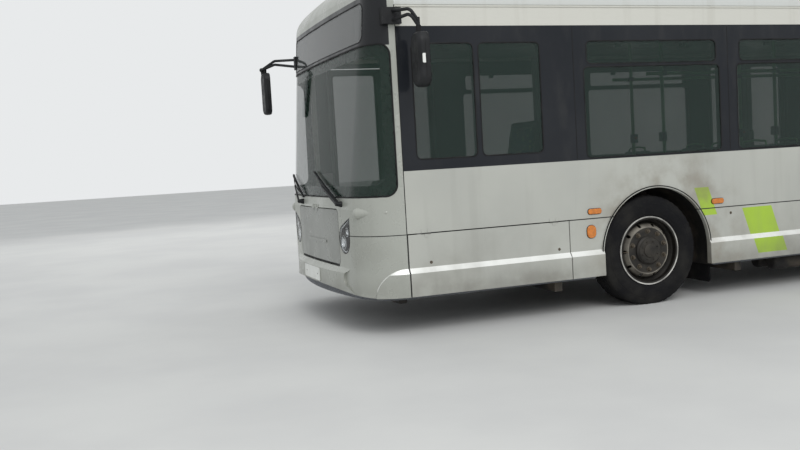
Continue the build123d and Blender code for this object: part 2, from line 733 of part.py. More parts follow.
def hinges(places, along):
    pairs = [hinge(place, along) for place in places]
    return [pair[0] for pair in pairs], [pair[1] for pair in pairs]


FLAP_HINGES_X = (FLAP_REAR_X + 140, corner_centre_x() - 140)
FLAP_FIXED, FLAP_MOVING = hinges([(x, HALF_W, FLAP_TOP_Z) for x in FLAP_HINGES_X], (1, 0, 0))
HATCH_HINGE_Z = HATCH_TOP_Z + PANEL_GAP / 2
HATCH_FIXED, HATCH_MOVING = hinges([(FACE_X, y, HATCH_HINGE_Z) for y in HATCH_HINGES_Y], (0, -1, 0))
LID_HINGE_Z = LID_TOP_Z + PANEL_GAP / 2
LID_FIXED, LID_MOVING = hinges([(TAIL_X, y, LID_HINGE_Z) for y in LID_HINGES_Y], (0, 1, 0))

OUTER = envelope(0)
INNER = envelope(WALL)
SHELL = OUTER - INNER
GROOVE_SKIN = OUTER - envelope(GROOVE_DEPTH)
SEAM_FIT = 0.15  # half of the joint between two fixed panels


def side_panel(side):
    """Painted wall from the skirt to the waist, with both wheel arches and their lips."""
    panel = SHELL & side_half(TAIL_SEAM_X + SEAM_FIT, MASK_SEAM_X - SEAM_FIT, SKIRT_Z, WAIST_Z - SEAM_FIT)
    for centre_x in (front_arch_x(), REAR_AXLE_X):
        panel = panel - prism_y(arch_outline(centre_x, ARCH_RADIUS), 0, WIDTH)
        panel = panel - prism_y(arch_outline(centre_x, ARCH_HOUSE_RADIUS + HOUSE_FIT), 0, HALF_W - ARCH_WALL)
        lip = arch_outline(centre_x, ARCH_RADIUS + ARCH_LIP) - arch_outline(centre_x, ARCH_RADIUS)
        lip = prism_y(lip, HALF_W - ARCH_LIP, HALF_W + ARCH_LIP_OUT)
        panel = panel + (lip & side_half(X_REAR, X_FRONT, BEVEL_LOW_Z, WAIST_Z))
    panel = panel - seam_groove(TAIL_SEAM_X - 1, MASK_SEAM_X + 1, FLAP_TOP_Z, 1)
    for joint_x in SKIRT_JOINTS_X:
        slot = side_half(joint_x - GROOVE_WIDTH / 2, joint_x + GROOVE_WIDTH / 2, 0, FLAP_TOP_Z)
        panel = panel - (GROOVE_SKIN & slot)
    if side > 0:
        panel = panel - side_half(FLAP_REAR_X - PANEL_GAP, MASK_SEAM_X + 1, 0, FLAP_TOP_Z + PANEL_GAP / 2)
        return merged([panel] + FLAP_FIXED)
    panel = mirrored_y(panel)
    return panel - doorways(DOOR_SILL_Z, WAIST_Z)


def doorways(z0, z1):
    """Cutter for every door's opening in the right wall, between two heights."""
    half = DOOR_WIDTH / 2
    return merged([block(door_x - half, door_x + half, -WIDTH, 0, z0, z1) for _, door_x in DOORS])


def service_flap():
    """Flap ahead of the left front wheel, hinged along its top, with the bevel across it."""
    skin = SHELL & side_half(FLAP_REAR_X, FLAP_FRONT_X, SKIRT_Z, FLAP_TOP_Z - PANEL_GAP / 2)
    thin = OUTER - envelope(FLAP_THICK)
    return merged([skin & thin] + FLAP_MOVING)


def bay_panes(centre_x):
    """One side window: a fixed pane below and a hopper above."""
    return (
        (centre_x - PANE_WIDTH / 2, centre_x + PANE_WIDTH / 2, PANE_LOW_Z, PANE_TOP_Z),
        (centre_x - HOPPER_WIDTH / 2, centre_x + HOPPER_WIDTH / 2, HOPPER_LOW_Z, HOPPER_TOP_Z),
    )


def window_table(side):
    """Panes of one side as x0, x1, z0, z1."""
    panes = []
    door_centres = [door_x for _, door_x in DOORS]
    for index in range(BAY_COUNT):
        centre_x = BAY_FIRST_X - index * BAY_PITCH
        if side < 0 and any(abs(centre_x - door_x) < BAY_PITCH / 2 for door_x in door_centres):
            continue
        panes.extend(bay_panes(centre_x))
    if side > 0:
        for front_x, rear_x in CAB_PANES:
            panes.append((rear_x, front_x, CAB_PANE_LOW_Z, CAB_PANE_TOP_Z))
    return panes


def window_frame(side):
    """Glazing band between waist and cantrail, with every pane's opening."""
    band = SHELL & side_half(TAIL_SEAM_X + SEAM_FIT, MASK_SEAM_X - SEAM_FIT, WAIST_Z + SEAM_FIT,
                             CANTRAIL_Z - SEAM_FIT)
    holes = [prism_y(rounded_rect(*pane, PANE_CORNER), 0, WIDTH) for pane in window_table(side)]
    for hole in holes:
        band = band - hole
    if side > 0:
        return band
    return mirrored_y(band) - doorways(WAIST_Z - 1, DOOR_HEAD_Z)


def window_glass(side):
    """The panes of one side, each set just behind the frame's face."""
    face_y = HALF_W - GLASS_SETBACK
    panes = []
    fit = GLASS_FIT
    for x0, x1, z0, z1 in window_table(side):
        outline = rounded_rect(x0 + fit, x1 - fit, z0 + fit, z1 - fit, PANE_CORNER - fit)
        pane = prism_y(outline, face_y - GLASS, face_y)
        panes.append(pane if side > 0 else mirrored_y(pane))
    return Compound(children=panes)


def roof():
    """Cantrails and roof skin in one shell, with the gutter groove along both sides."""
    skin = SHELL & box_band(X_REAR - 1, MASK_SEAM_X - SEAM_FIT, CANTRAIL_Z + SEAM_FIT, ROOF_TOP_Z + CAP_CLEAR)
    for side in (1, -1):
        skin = skin - seam_groove(TAIL_X + TAIL_CORNER_RADIUS, MASK_SEAM_X + 1, GROOVE_Z, side)
    return skin


def roof_units():
    """What stands on the roof: two hatches and the long rear fairing."""
    pieces = []
    for x0, x1, half, top in ROOF_UNITS:
        outline = rounded_rect(x0, x1, -half, half, ROOF_UNIT_CORNER)
        base = prism_z(outline, ROOF_TOP_Z - COVE_RADIUS, top)
        base = chamfer(base.faces().sort_by(Axis.Z)[-1].edges(), ROOF_UNIT_CHAMFER)
        pieces.append(base - OUTER)
    return Compound(children=pieces)


def screen_region(grow):
    """Everything ahead of the windscreen's edge, drawn from the side with round rear corners."""
    outline = rounded_rect(SCREEN_EDGE_X - grow, X_FRONT + LENGTH, SCREEN_LOW_Z - grow, SCREEN_TOP_Z + grow,
                           SCREEN_CORNER + grow)
    return prism_y(outline, -WIDTH, WIDTH)


def sign_region(grow):
    outline = rounded_rect(-SIGN_HALF_W - grow, SIGN_HALF_W + grow, SIGN_LOW_Z - grow, SIGN_TOP_Z + grow,
                           SIGN_CORNER + grow)
    return prism_x(outline, MASK_SEAM_X - WALL, X_FRONT + WALL)


def hatch_region(grow):
    """Front hatch seen from ahead: straight top and sides, round lower corners."""
    outline = rounded_rect(-HATCH_HALF_W - grow, HATCH_HALF_W + grow, HATCH_LOW_Z - grow, HATCH_TOP_Z + grow,
                           HATCH_CORNER + grow)
    return prism_x(outline, MASK_SEAM_X, X_FRONT + WALL)


def headlamp_region(grow):
    """Teardrop seen from ahead: a round lower end and a point up and outboard."""
    lamp_y, lamp_z = LAMP_CENTRE
    tip_y, tip_z = LAMP_TIP
    radius = LAMP_RADIUS + grow
    reach = math.hypot(tip_y - lamp_y, tip_z - lamp_z)
    tip_angle = math.atan2(tip_z - lamp_z, tip_y - lamp_y)
    spread = math.acos(LAMP_RADIUS / reach)
    drops = []
    for turn in (spread, -spread):
        angle = tip_angle + turn
        drops.append((lamp_y + radius * math.cos(angle), lamp_z + radius * math.sin(angle)))
    far = (tip_y + grow * math.cos(tip_angle), tip_z + grow * math.sin(tip_angle))
    outline = Pos(lamp_y, lamp_z) * Circle(radius) + polygon((lamp_y, lamp_z), drops[0], far, drops[1])
    return prism_x(outline, MASK_SEAM_X, X_FRONT + WALL)


MASK_INNER = envelope(MASK_WALL)
MASK_SHELL = (OUTER - MASK_INNER) & box_band(MASK_SEAM_X + SEAM_FIT, X_FRONT + 1, 0, ROOF_TOP_Z + CAP_CLEAR)
LAMP_CUTS = merged(both_sides(headlamp_region(LAMP_FIT)))


def front_mask():
    """Moulded front: corner posts, brow with the sign opening, dome, and the cheeks round the hatch."""
    mask = MASK_SHELL & box_band(0, X_FRONT + 1, FLAP_TOP_Z + SEAM_FIT, ROOF_TOP_Z + CAP_CLEAR)
    mask = mask - screen_region(SCREEN_FIT) - sign_region(SCREEN_FIT) - hatch_region(PANEL_GAP)
    mask = mask - LAMP_CUTS
    pods = []
    for pod in both_sides(indicator_pod()):
        pods.append(pod - OUTER)
    return merged([mask] + pods + [fixed - OUTER for fixed in HATCH_FIXED])


def indicator_pod():
    """Teardrop housing on the mask's cheek that trails back round the corner."""
    pod_y, pod_z = POD_CENTRE
    nose_x = skin_x(pod_y, pod_z) + POD_OUT
    ball = Pos(nose_x - POD_RADIUS, pod_y, pod_z) * Sphere(POD_RADIUS)
    tail_x = skin_x(POD_TAIL_Y, pod_z)
    tail = Pos(tail_x - POD_TAIL_RADIUS, POD_TAIL_Y - POD_TAIL_RADIUS / 3, pod_z) * Sphere(POD_TAIL_RADIUS)
    start = Vector(nose_x - POD_RADIUS, pod_y, pod_z)
    along = Vector(tail_x - POD_TAIL_RADIUS, POD_TAIL_Y - POD_TAIL_RADIUS / 3, pod_z) - start
    cone = Plane(start, z_dir=along) * Cone(POD_RADIUS, POD_TAIL_RADIUS, along.length,
                                            align=(Align.CENTER, Align.CENTER, Align.MIN))
    return merged([ball, tail, cone])


def chin_cut():
    """What is cut away below the bumper, whose lower edge arches up to the centre."""
    arch = ThreePointArc((-CHIN_HALF_W, SKIRT_Z), (0, SKIRT_Z + CHIN_RISE), (CHIN_HALF_W, SKIRT_Z))
    below = Polyline((CHIN_HALF_W, SKIRT_Z), (CHIN_HALF_W, 0), (-CHIN_HALF_W, 0), (-CHIN_HALF_W, SKIRT_Z))
    return prism_x(make_face([arch, below]), MASK_SEAM_X, X_FRONT + 1)


def front_bumper():
    """Lower front, from the mask's joint to the skirt, standing out below the bevel."""
    bumper = MASK_SHELL & box_band(0, X_FRONT + 1, SKIRT_Z, FLAP_TOP_Z - SEAM_FIT)
    bumper = bumper - hatch_region(PANEL_GAP) - LAMP_CUTS - chin_cut()
    slot_low_z = HATCH_LOW_Z - PANEL_GAP - SLOT_HEIGHT
    slot = block(MASK_SEAM_X, X_FRONT + 1, -SLOT_HALF_W, SLOT_HALF_W, slot_low_z, HATCH_LOW_Z)
    bumper = bumper - (slot - envelope(SLOT_DEPTH))
    pad = Pos(PLATE_Y, PLATE_Z) * RectangleRounded(PLATE_WIDTH, PLATE_HEIGHT, PLATE_CORNER)
    return bumper + (prism_x(pad, X_FRONT - MASK_WALL, X_FRONT) - MASK_INNER)


def front_hatch():
    """Service hatch below the windscreen, with the trim bar across its middle."""
    panel = (OUTER - envelope(HATCH_THICK)) & hatch_region(0)
    outline = Pos(0, TRIM_Z) * RectangleRounded(2 * TRIM_HALF_W, TRIM_HEIGHT, TRIM_HEIGHT / 3)
    bar = (envelope(-TRIM_OUT) - OUTER) & prism_x(outline, MASK_SEAM_X, X_FRONT + WALL)
    return merged([panel, bar] + [moving - OUTER for moving in HATCH_MOVING])


def windscreen():
    glass = (envelope(SCREEN_SETBACK) - envelope(SCREEN_SETBACK + SCREEN_GLASS)) & screen_region(0)
    return glass & box_band(SCREEN_EDGE_X, X_FRONT, SCREEN_LOW_Z, SCREEN_TOP_Z)


def sign_glass():
    return (envelope(SCREEN_SETBACK) - envelope(SCREEN_SETBACK + SCREEN_GLASS)) & sign_region(0)


def sign_display():
    """Flat destination display behind the sign glass, carried by the brow."""
    back_x = skin_x(DISPLAY_HALF_W, SIGN_TOP_Z) - SCREEN_SETBACK - SCREEN_GLASS - DISPLAY_GAP
    case = block(back_x - DISPLAY_DEPTH, back_x, -DISPLAY_HALF_W, DISPLAY_HALF_W, SIGN_LOW_Z, SIGN_TOP_Z)
    rear_x = back_x - DISPLAY_DEPTH
    top_z = SIGN_TOP_Z + DISPLAY_BRACKET
    half = DISPLAY_BRACKET_WIDTH / 2
    pieces = [case]
    for y in (-DISPLAY_BRACKET_Y, DISPLAY_BRACKET_Y):
        pieces.append(block(rear_x, rear_x + DISPLAY_DEPTH / 2, y - half, y + half, SIGN_TOP_Z, top_z))
    hung = merged(pieces)
    return hung & MASK_INNER


def headlamps():
    lamps = []
    for region in both_sides(headlamp_region(0)):
        lamps.append((OUTER - envelope(LAMP_DEPTH)) & region)
    return Compound(children=[solid for lamp in lamps for solid in lamp.solids()])


def wiper_point(y, z, out):
    """A point ahead of the skin at a place on the front."""
    return Vector(skin_x(y, z) + out, y, z)


def wipers():
    """Two wipers: pivot post on the mask, arm just ahead of the glass, and blade."""
    pieces = []
    for pivot_y, tip_y, tip_z, blade in WIPERS:
        post = rod(wiper_point(pivot_y, WIPER_PIVOT_Z, -WIPER_POST_SINK),
                   wiper_point(pivot_y, WIPER_PIVOT_Z, WIPER_OUT), WIPER_POST_RADIUS)
        tip = wiper_point(tip_y, tip_z, WIPER_OUT)
        arm = rod(wiper_point(pivot_y, WIPER_PIVOT_Z, WIPER_OUT - WIPER_ARM_RADIUS), tip, WIPER_ARM_RADIUS)
        half_y = blade / 2 * BLADE_SLOPE[0]
        half_z = blade / 2 * BLADE_SLOPE[1]
        bow = ThreePointArc(wiper_point(tip_y - half_y, tip_z - half_z, WIPER_BLADE_OUT),
                            wiper_point(tip_y, tip_z, WIPER_BLADE_OUT),
                            wiper_point(tip_y + half_y, tip_z + half_z, WIPER_BLADE_OUT))
        rubber = sweep(Plane(bow @ 0, z_dir=bow % 0) * Circle(BLADE_RADIUS), path=bow)
        joint = rod(tip, wiper_point(tip_y, tip_z, WIPER_BLADE_OUT - BLADE_RADIUS / 2), WIPER_JOINT_RADIUS)
        shape = merged([post - OUTER, arm, joint, rubber])
        pieces.extend(shape.solids())
    return Compound(children=pieces)


def mirror_head(place, size):
    """Mirror housing, round-edged, with the glass face to the rear."""
    x, y, z = place
    depth, width, height = size
    outline = Pos(y, z) * RectangleRounded(width, height, width * 0.4)
    case = prism_x(outline, x - depth / 2, x + depth / 2)
    return fillet(case.faces().sort_by(Axis.X)[-1].edges(), depth * 0.4)


def mirror_left():
    """Bracket at the brow, two arms out over the driver's window, and a hanging head."""
    root_x = MASK_SEAM_X + MIRROR_ROOT_AHEAD
    head_x, head_y, head_z = MIRROR_LEFT_HEAD
    bracket = Pos(root_x, HALF_W, MIRROR_ARM_Z) * Box(*MIRROR_BRACKET)
    arms = []
    for dz in (-MIRROR_ARM_SPREAD, MIRROR_ARM_SPREAD):
        route = [
            (root_x, HALF_W + MIRROR_BRACKET[1] / 4, MIRROR_ARM_Z + dz),
            (root_x - MIRROR_BRACKET[0] / 2, head_y, MIRROR_ARM_Z + dz / 2),
            (head_x, head_y, MIRROR_ARM_Z + dz / 2 - 2 * MIRROR_ARM_BEND),
        ]
        arms.append(pipe(route, MIRROR_ARM_RADIUS, MIRROR_ARM_BEND))
    post = rod((head_x, head_y, MIRROR_ARM_Z - MIRROR_ARM_BEND), (head_x, head_y, head_z), MIRROR_ARM_RADIUS)
    return merged([bracket] + arms + [post, mirror_head(MIRROR_LEFT_HEAD, MIRROR_LEFT_SIZE)]) - OUTER


def mirror_right():
    """Arms from the right brow forward, with the head hanging ahead of the corner."""
    head_x, head_y, head_z = MIRROR_RIGHT_HEAD
    foot_y = MIRROR_RIGHT_FOOT_Y
    foot_x = skin_x(foot_y, MIRROR_RIGHT_ARM_Z) - MIRROR_FOOT[0] / 4
    elbow = (X_FRONT + MIRROR_AHEAD - MIRROR_ELBOW_RADIUS, head_y, MIRROR_ELBOW_Z)
    joint = Pos(*elbow) * Sphere(MIRROR_ELBOW_RADIUS)
    reach = 2 * MIRROR_ARM_BEND
    arms = []
    for dz in (-MIRROR_ARM_SPREAD, MIRROR_ARM_SPREAD):
        low = (foot_x, foot_y, MIRROR_RIGHT_ARM_Z + dz)
        high = (head_x - reach, head_y + reach, MIRROR_RIGHT_ARM_Z + reach / 2 + dz / 2)
        arms.append(pipe([low, high, elbow], MIRROR_ARM_RADIUS, MIRROR_ARM_BEND))
    post = rod(elbow, (head_x, head_y, head_z), MIRROR_ARM_RADIUS)
    foot = Pos(foot_x, foot_y, MIRROR_RIGHT_ARM_Z) * Box(*MIRROR_FOOT)
    return merged([foot] + arms + [joint, post, mirror_head(MIRROR_RIGHT_HEAD, MIRROR_RIGHT_SIZE)]) - OUTER


def tail_band(z0, z1):
    return box_band(X_REAR - 1, TAIL_SEAM_X - SEAM_FIT, z0, z1)


def lid_region(grow):
    half = LID_HALF_W + grow
    outline = rounded_rect(-half, half, LID_LOW_Z - grow, LID_TOP_Z + grow, LID_CORNER)
    return prism_x(outline, X_REAR - WALL, TAIL_SEAM_X)


def rear_glass_region(grow):
    outline = rounded_rect(-REAR_GLASS_HALF_W - grow, REAR_GLASS_HALF_W + grow, REAR_GLASS_LOW_Z - grow,
                           REAR_GLASS_TOP_Z + grow, REAR_GLASS_CORNER + grow)
    return prism_x(outline, X_REAR - WALL, TAIL_SEAM_X)


def rear_wall():
    wall = SHELL & tail_band(BUMPER_TOP_Z + SEAM_FIT, CANTRAIL_Z - SEAM_FIT)
    wall = wall - lid_region(PANEL_GAP) - rear_glass_region(GLASS_FIT)
    return merged([wall] + LID_FIXED)


def rear_bumper():
    return SHELL & tail_band(SKIRT_Z, BUMPER_TOP_Z - SEAM_FIT)


def rear_glass():
    return (envelope(GLASS_SETBACK) - envelope(GLASS_SETBACK + GLASS)) & rear_glass_region(0)


def engine_lid():
    """Louvred lid over the engine, hinged along its top edge."""
    lid = (OUTER - envelope(LID_THICK)) & lid_region(0)
    for bank_y in LOUVRE_BANKS_Y:
        for index in range(LOUVRE_COUNT):
            low_z = LOUVRE_LOW_Z + index * LOUVRE_PITCH
            slot = Box(4 * LID_THICK, LOUVRE_WIDTH, LOUVRE_SLOT)
            lid = lid - Pos(TAIL_X, bank_y, low_z) * Rot(0, LOUVRE_TILT, 0) * slot
    return merged([lid] + LID_MOVING)


def tail_lamps():
    """A column of round lamps on each rear post."""
    lamps = []
    for side in (1, -1):
        for z in TAIL_LAMP_Z:
            y = side * TAIL_LAMP_Y
            lamp = rod((TAIL_X - TAIL_LAMP_OUT, y, z), (TAIL_X, y, z), TAIL_LAMP_RADIUS)
            lamps.append(fillet(lamp.faces().sort_by(Axis.X)[0].edges(), TAIL_LAMP_OUT / 2))
    return Compound(children=lamps)


def side_lamps():
    """Amber ovals along both sides and the repeaters ahead of the front wheels."""
    lamps = []
    for side in (1, -1):
        for x, z, length, height in SIDE_LAMPS:
            if side < 0 and any(abs(x - door_x) < DOOR_WIDTH / 2 + length for _, door_x in DOORS):
                continue
            outline = rounded_rect(x - length / 2, x + length / 2, z - height / 2, z + height / 2,
                                   min(length, height) * 0.45)
            lamp = prism_y(outline, HALF_W, HALF_W + SIDE_LAMP_OUT)
            lamp = chamfer(lamp.faces().sort_by(Axis.Y)[-1].edges(), SIDE_LAMP_OUT / 3)
            lamps.append(lamp if side > 0 else mirrored_y(lamp))
    return Compound(children=lamps)


def door_leaf(door_x, hand):
    """One door leaf with its turning shaft. hand is 1 for the fore leaf, -1 for the aft one."""
    jamb_x = door_x + hand * DOOR_WIDTH / 2
    edge_x = jamb_x - hand * PANEL_GAP
    meet_x = door_x + hand * DOOR_MEET_GAP / 2
    x0, x1 = min(edge_x, meet_x), max(edge_x, meet_x)
    z0, z1 = DOOR_SILL_Z + PANEL_GAP, DOOR_HEAD_Z - PANEL_GAP
    frame = block(x0, x1, -HALF_W, DOOR_THICK - HALF_W, z0, z1)
    hole = prism_y(rounded_rect(*door_pane(x0, x1, z0, z1), DOOR_PANE_CORNER), -WIDTH, 0)
    frame = frame - hole
    shaft_x = jamb_x - hand * SHAFT_IN
    shaft_low = (shaft_x, SHAFT_Y, DOOR_SILL_Z + HOUSE_FIT)
    shaft_top = (shaft_x, SHAFT_Y, DOOR_HEAD_Z - HOUSE_FIT)
    shaft = rod(shaft_low, shaft_top, SHAFT_RADIUS)
    back_y = DOOR_THICK - HALF_W
    half = DOOR_ARM_HEIGHT / 2
    arm_x0 = shaft_x - SHAFT_RADIUS
    arm_x1 = shaft_x + SHAFT_RADIUS
    arms = []
    for z in (z0 + DOOR_ARM_IN, z1 - DOOR_ARM_IN):
        arms.append(block(arm_x0, arm_x1, back_y - 1, SHAFT_Y, z - half, z + half))
    grip_y = back_y + DOOR_GRIP_OUT
    grip_x = meet_x + hand * DOOR_BORDER / 2
    low_z, high_z = DOOR_GRIP_Z
    lower = [(grip_x, back_y - 2, low_z), (grip_x, grip_y, low_z)]
    upper = [(grip_x, grip_y, high_z), (grip_x, back_y - 2, high_z)]
    grip = pipe(lower + upper, DOOR_GRIP_RADIUS, DOOR_GRIP_BEND)
    return merged([frame, shaft] + arms + [grip])


def door_pane(x0, x1, z0, z1):
    return x0 + DOOR_BORDER, x1 - DOOR_BORDER, z0 + 2 * DOOR_BORDER, z1 - DOOR_BORDER


def door_glass(door_x, hand):
    edge_x = door_x + hand * (DOOR_WIDTH / 2 - PANEL_GAP)
    meet_x = door_x + hand * DOOR_MEET_GAP / 2
    x0, x1, z0, z1 = door_pane(min(edge_x, meet_x), max(edge_x, meet_x), DOOR_SILL_Z + PANEL_GAP,
                               DOOR_HEAD_Z - PANEL_GAP)
    fit = GLASS_FIT
    outline = rounded_rect(x0 + fit, x1 - fit, z0 + fit, z1 - fit, DOOR_PANE_CORNER - fit)
    middle_y = DOOR_THICK / 2 - HALF_W
    return prism_y(outline, middle_y - GLASS / 2, middle_y + GLASS / 2)


def wheel_housings():
    """Four sheet housings that close the wheel arches off from the saloon."""
    pieces = []
    for axle_x, inner_y, low_z in (
        (front_arch_x(), FRONT_HOUSE_Y, FLOOR_Z - FLOOR_PLATE),
        (REAR_AXLE_X, REAR_HOUSE_Y, REAR_FLOOR_Z - FLOOR_PLATE),
    ):
        house = prism_y(arch_outline(axle_x, ARCH_HOUSE_RADIUS), inner_y - HOUSE_SHEET, WALL_REACH)
        hollow = prism_y(arch_outline(axle_x, ARCH_HOUSE_RADIUS - HOUSE_SHEET), inner_y, WIDTH)
        house = (house - hollow) & box_band(X_REAR, X_FRONT, low_z, ROOF_TOP_Z)
        pieces.extend(both_sides(house))
    return Compound(children=[solid for piece in pieces for solid in piece.solids()])


def housing_cut():
    cuts = []
    for axle_x, inner_y in ((front_arch_x(), FRONT_HOUSE_Y), (REAR_AXLE_X, REAR_HOUSE_Y)):
        outline = arch_outline(axle_x, ARCH_HOUSE_RADIUS + HOUSE_FIT)
        cuts.extend(both_sides(prism_y(outline, inner_y - HOUSE_SHEET - HOUSE_FIT, WIDTH)))
    return merged(cuts)


def floor():
    """Floor boards at three levels and the two risers between them, clear of the wheel housings."""
    inside = envelope(WALL + HOUSE_FIT) - housing_cut()
    boards = []
    for rear_x, front_x, low_z, top_z in FLOOR_BOARDS:
        board = box_band(rear_x + HOUSE_FIT, front_x, low_z, top_z) & inside
        boards.extend(board.solids())
    return Compound(children=boards)


def chassis():
    """Frame under the floor: cross members from wall to wall with box rails let in between them."""
    half_w = RAIL_WIDTH / 2
    room_half = half_w + HOUSE_FIT
    members = []
    rooms = []
    for x, top_z, half in CROSS_MEMBERS:
        members.append(block(x - half_w, x + half_w, -half, half, top_z - RAIL_HEIGHT, top_z))
        rooms.append(box_band(x - room_half, x + room_half, top_z - RAIL_HEIGHT, top_z))
    rails = []
    for rear_x, front_x, low_z, top_z in RAILS:
        for y in (RAIL_Y, -RAIL_Y):
            rail = block(rear_x, front_x, y - half_w, y + half_w, low_z, top_z)
            for room in rooms:
                rail = rail - room
            rails.extend(rail.solids())
    face_x = CROSS_MEMBERS[0][0] + room_half
    boss = rod((face_x, TOW_Y, TOW_Z), (TOW_TIP_X, TOW_Y, TOW_Z), TOW_RADIUS)
    bore = rod((TOW_TIP_X - TOW_BORE_DEPTH, TOW_Y, TOW_Z), (TOW_TIP_X + 1, TOW_Y, TOW_Z), TOW_BORE_RADIUS)
    return Compound(children=members + rails + (boss - bore).solids())


def front_axle():
    """Dropped beam below the floor with a yoke round each kingpin and two rods back to the rails."""
    low_z = BEAM_TOP_Z - BEAM_HEIGHT
    beam_x0 = FRONT_AXLE_X - BEAM_DEPTH / 2
    beam_x1 = FRONT_AXLE_X + BEAM_DEPTH / 2
    beam = block(beam_x0, beam_x1, -YOKE_OUT_Y, YOKE_OUT_Y, low_z, BEAM_TOP_Z)
    yoke_x0 = FRONT_AXLE_X - YOKE_HALF
    yoke_x1 = FRONT_AXLE_X + YOKE_HALF
    pieces = [beam]
    for side in (1, -1):
        pin_y = side * KINGPIN_Y
        inner_y = side * YOKE_IN_Y
        pieces.append(block(yoke_x0, yoke_x1, inner_y, side * YOKE_OUT_Y, low_z, EAR_TOP_Z))
        for z0, z1 in ((EAR_LOW_Z, BARREL_LOW_Z - EAR_FIT), (BARREL_TOP_Z + EAR_FIT, EAR_TOP_Z)):
            pieces.append(rod((FRONT_AXLE_X, pin_y, z0), (FRONT_AXLE_X, pin_y, z1), YOKE_HALF))
            pieces.append(block(yoke_x0, yoke_x1, inner_y, pin_y, z0, z1))
        pieces.append(rod((FRONT_AXLE_X, pin_y, EAR_LOW_Z), (FRONT_AXLE_X, pin_y, EAR_TOP_Z), KINGPIN_RADIUS))
        rod_y = side * (RAIL_Y + RAIL_WIDTH / 2 + ROD_RADIUS)
        rod_end_x = ROD_CROSS_X + RAIL_WIDTH / 2 + SLOPE_FIT
        rod_start = (FRONT_AXLE_X, rod_y, low_z + BEAM_HEIGHT / 2)
        pieces.append(rod(rod_start, (rod_end_x, rod_y, ROD_END_Z), ROD_RADIUS))
    return merged(pieces)


def knuckle(side):
    """Steering knuckle: barrel on the kingpin and the wheel's spindle."""
    y = side * KINGPIN_Y
    tip_y = side * SPINDLE_TIP_Y
    barrel = rod((FRONT_AXLE_X, y, BARREL_LOW_Z), (FRONT_AXLE_X, y, BARREL_TOP_Z), BARREL_RADIUS)
    spindle = rod((FRONT_AXLE_X, y, AXLE_Z), (FRONT_AXLE_X, tip_y, AXLE_Z), SPINDLE_RADIUS)
    flange = rod((FRONT_AXLE_X, y, AXLE_Z), (FRONT_AXLE_X, y + side * FLANGE_OUT, AXLE_Z), FLANGE_RADIUS)
    between_ears = block(FRONT_AXLE_X - FLANGE_RADIUS, FRONT_AXLE_X + FLANGE_RADIUS, y + side * FLANGE_IN,
                         tip_y, BARREL_LOW_Z, BARREL_TOP_Z)
    flange = flange & between_ears
    bore_low = (FRONT_AXLE_X, y, BARREL_LOW_Z - 1)
    bore_top = (FRONT_AXLE_X, y, BARREL_TOP_Z + 1)
    return merged([barrel, spindle, flange]) - rod(bore_low, bore_top, KINGPIN_RADIUS + BORE_FIT)


def rear_axle():
    """Portal axle: a low casing with the final drive, risers inside the wheels and the stub tubes."""
    pieces = [rod((REAR_AXLE_X, -PORTAL_Y, PORTAL_Z), (REAR_AXLE_X, PORTAL_Y, PORTAL_Z), PORTAL_RADIUS)]
    pieces.append(Pos(REAR_AXLE_X, 0, PORTAL_Z) * Sphere(DIFF_RADIUS))
    prop_start = (REAR_AXLE_X - DIFF_RADIUS / 2, 0, PORTAL_Z)
    pieces.append(rod(prop_start, (ENGINE_FRONT_X + SLOPE_FIT, 0, PROP_Z), PROP_RADIUS))
    bellows_top_z = RAIL_MIDDLE_Z - RAIL_HEIGHT - HOUSE_FIT
    riser_x0 = REAR_AXLE_X - PORTAL_RADIUS
    riser_x1 = REAR_AXLE_X + PORTAL_RADIUS
    for side in (1, -1):
        pieces.append(block(riser_x0, riser_x1, side * (PORTAL_Y - RISER_WIDTH), side * PORTAL_Y,
                            PORTAL_Z - PORTAL_RADIUS, AXLE_Z + PORTAL_RADIUS))
        stub_start = (REAR_AXLE_X, side * (PORTAL_Y - RISER_WIDTH / 2), AXLE_Z)
        pieces.append(rod(stub_start, (REAR_AXLE_X, side * REAR_STUB_Y, AXLE_Z), STUB_RADIUS))
        y = side * RAIL_Y
        for x in (REAR_AXLE_X - BELLOWS_X, REAR_AXLE_X + BELLOWS_X):
            pieces.append(rod((REAR_AXLE_X, y, PORTAL_Z), (x, y, PORTAL_Z), BELLOWS_ARM_RADIUS))
            pieces.append(rod((x, y, PORTAL_Z - BELLOWS_DROP), (x, y, bellows_top_z), BELLOWS_RADIUS))
    return merged(pieces)


def turned(points, centre_y):
    """A wheel piece turned about the axle's line from a section given as (radius, distance inward)."""
    outline = make_face(Polyline(*[(radius, -inward) for radius, inward in points], close=True))
    solid = revolve(outline, Axis.Y, 360)
    return Pos(0, centre_y, 0) * solid


def tyre_section():
    """Tyre section as (radius, distance inward from the wheel's face)."""
    half = TYRE_WIDTH / 2
    wall = TYRE_RADIUS - TYRE_SEAT_RADIUS
    outer = []
    for share, width in TYRE_PROFILE:
        outer.append((TYRE_SEAT_RADIUS + HOUSE_FIT + share * (wall - HOUSE_FIT), half - width * half))
    inner = [(radius, TYRE_WIDTH - inward) for radius, inward in reversed(outer)]
    return outer + inner


def tyre(face_y):
    return turned(tyre_section(), face_y)


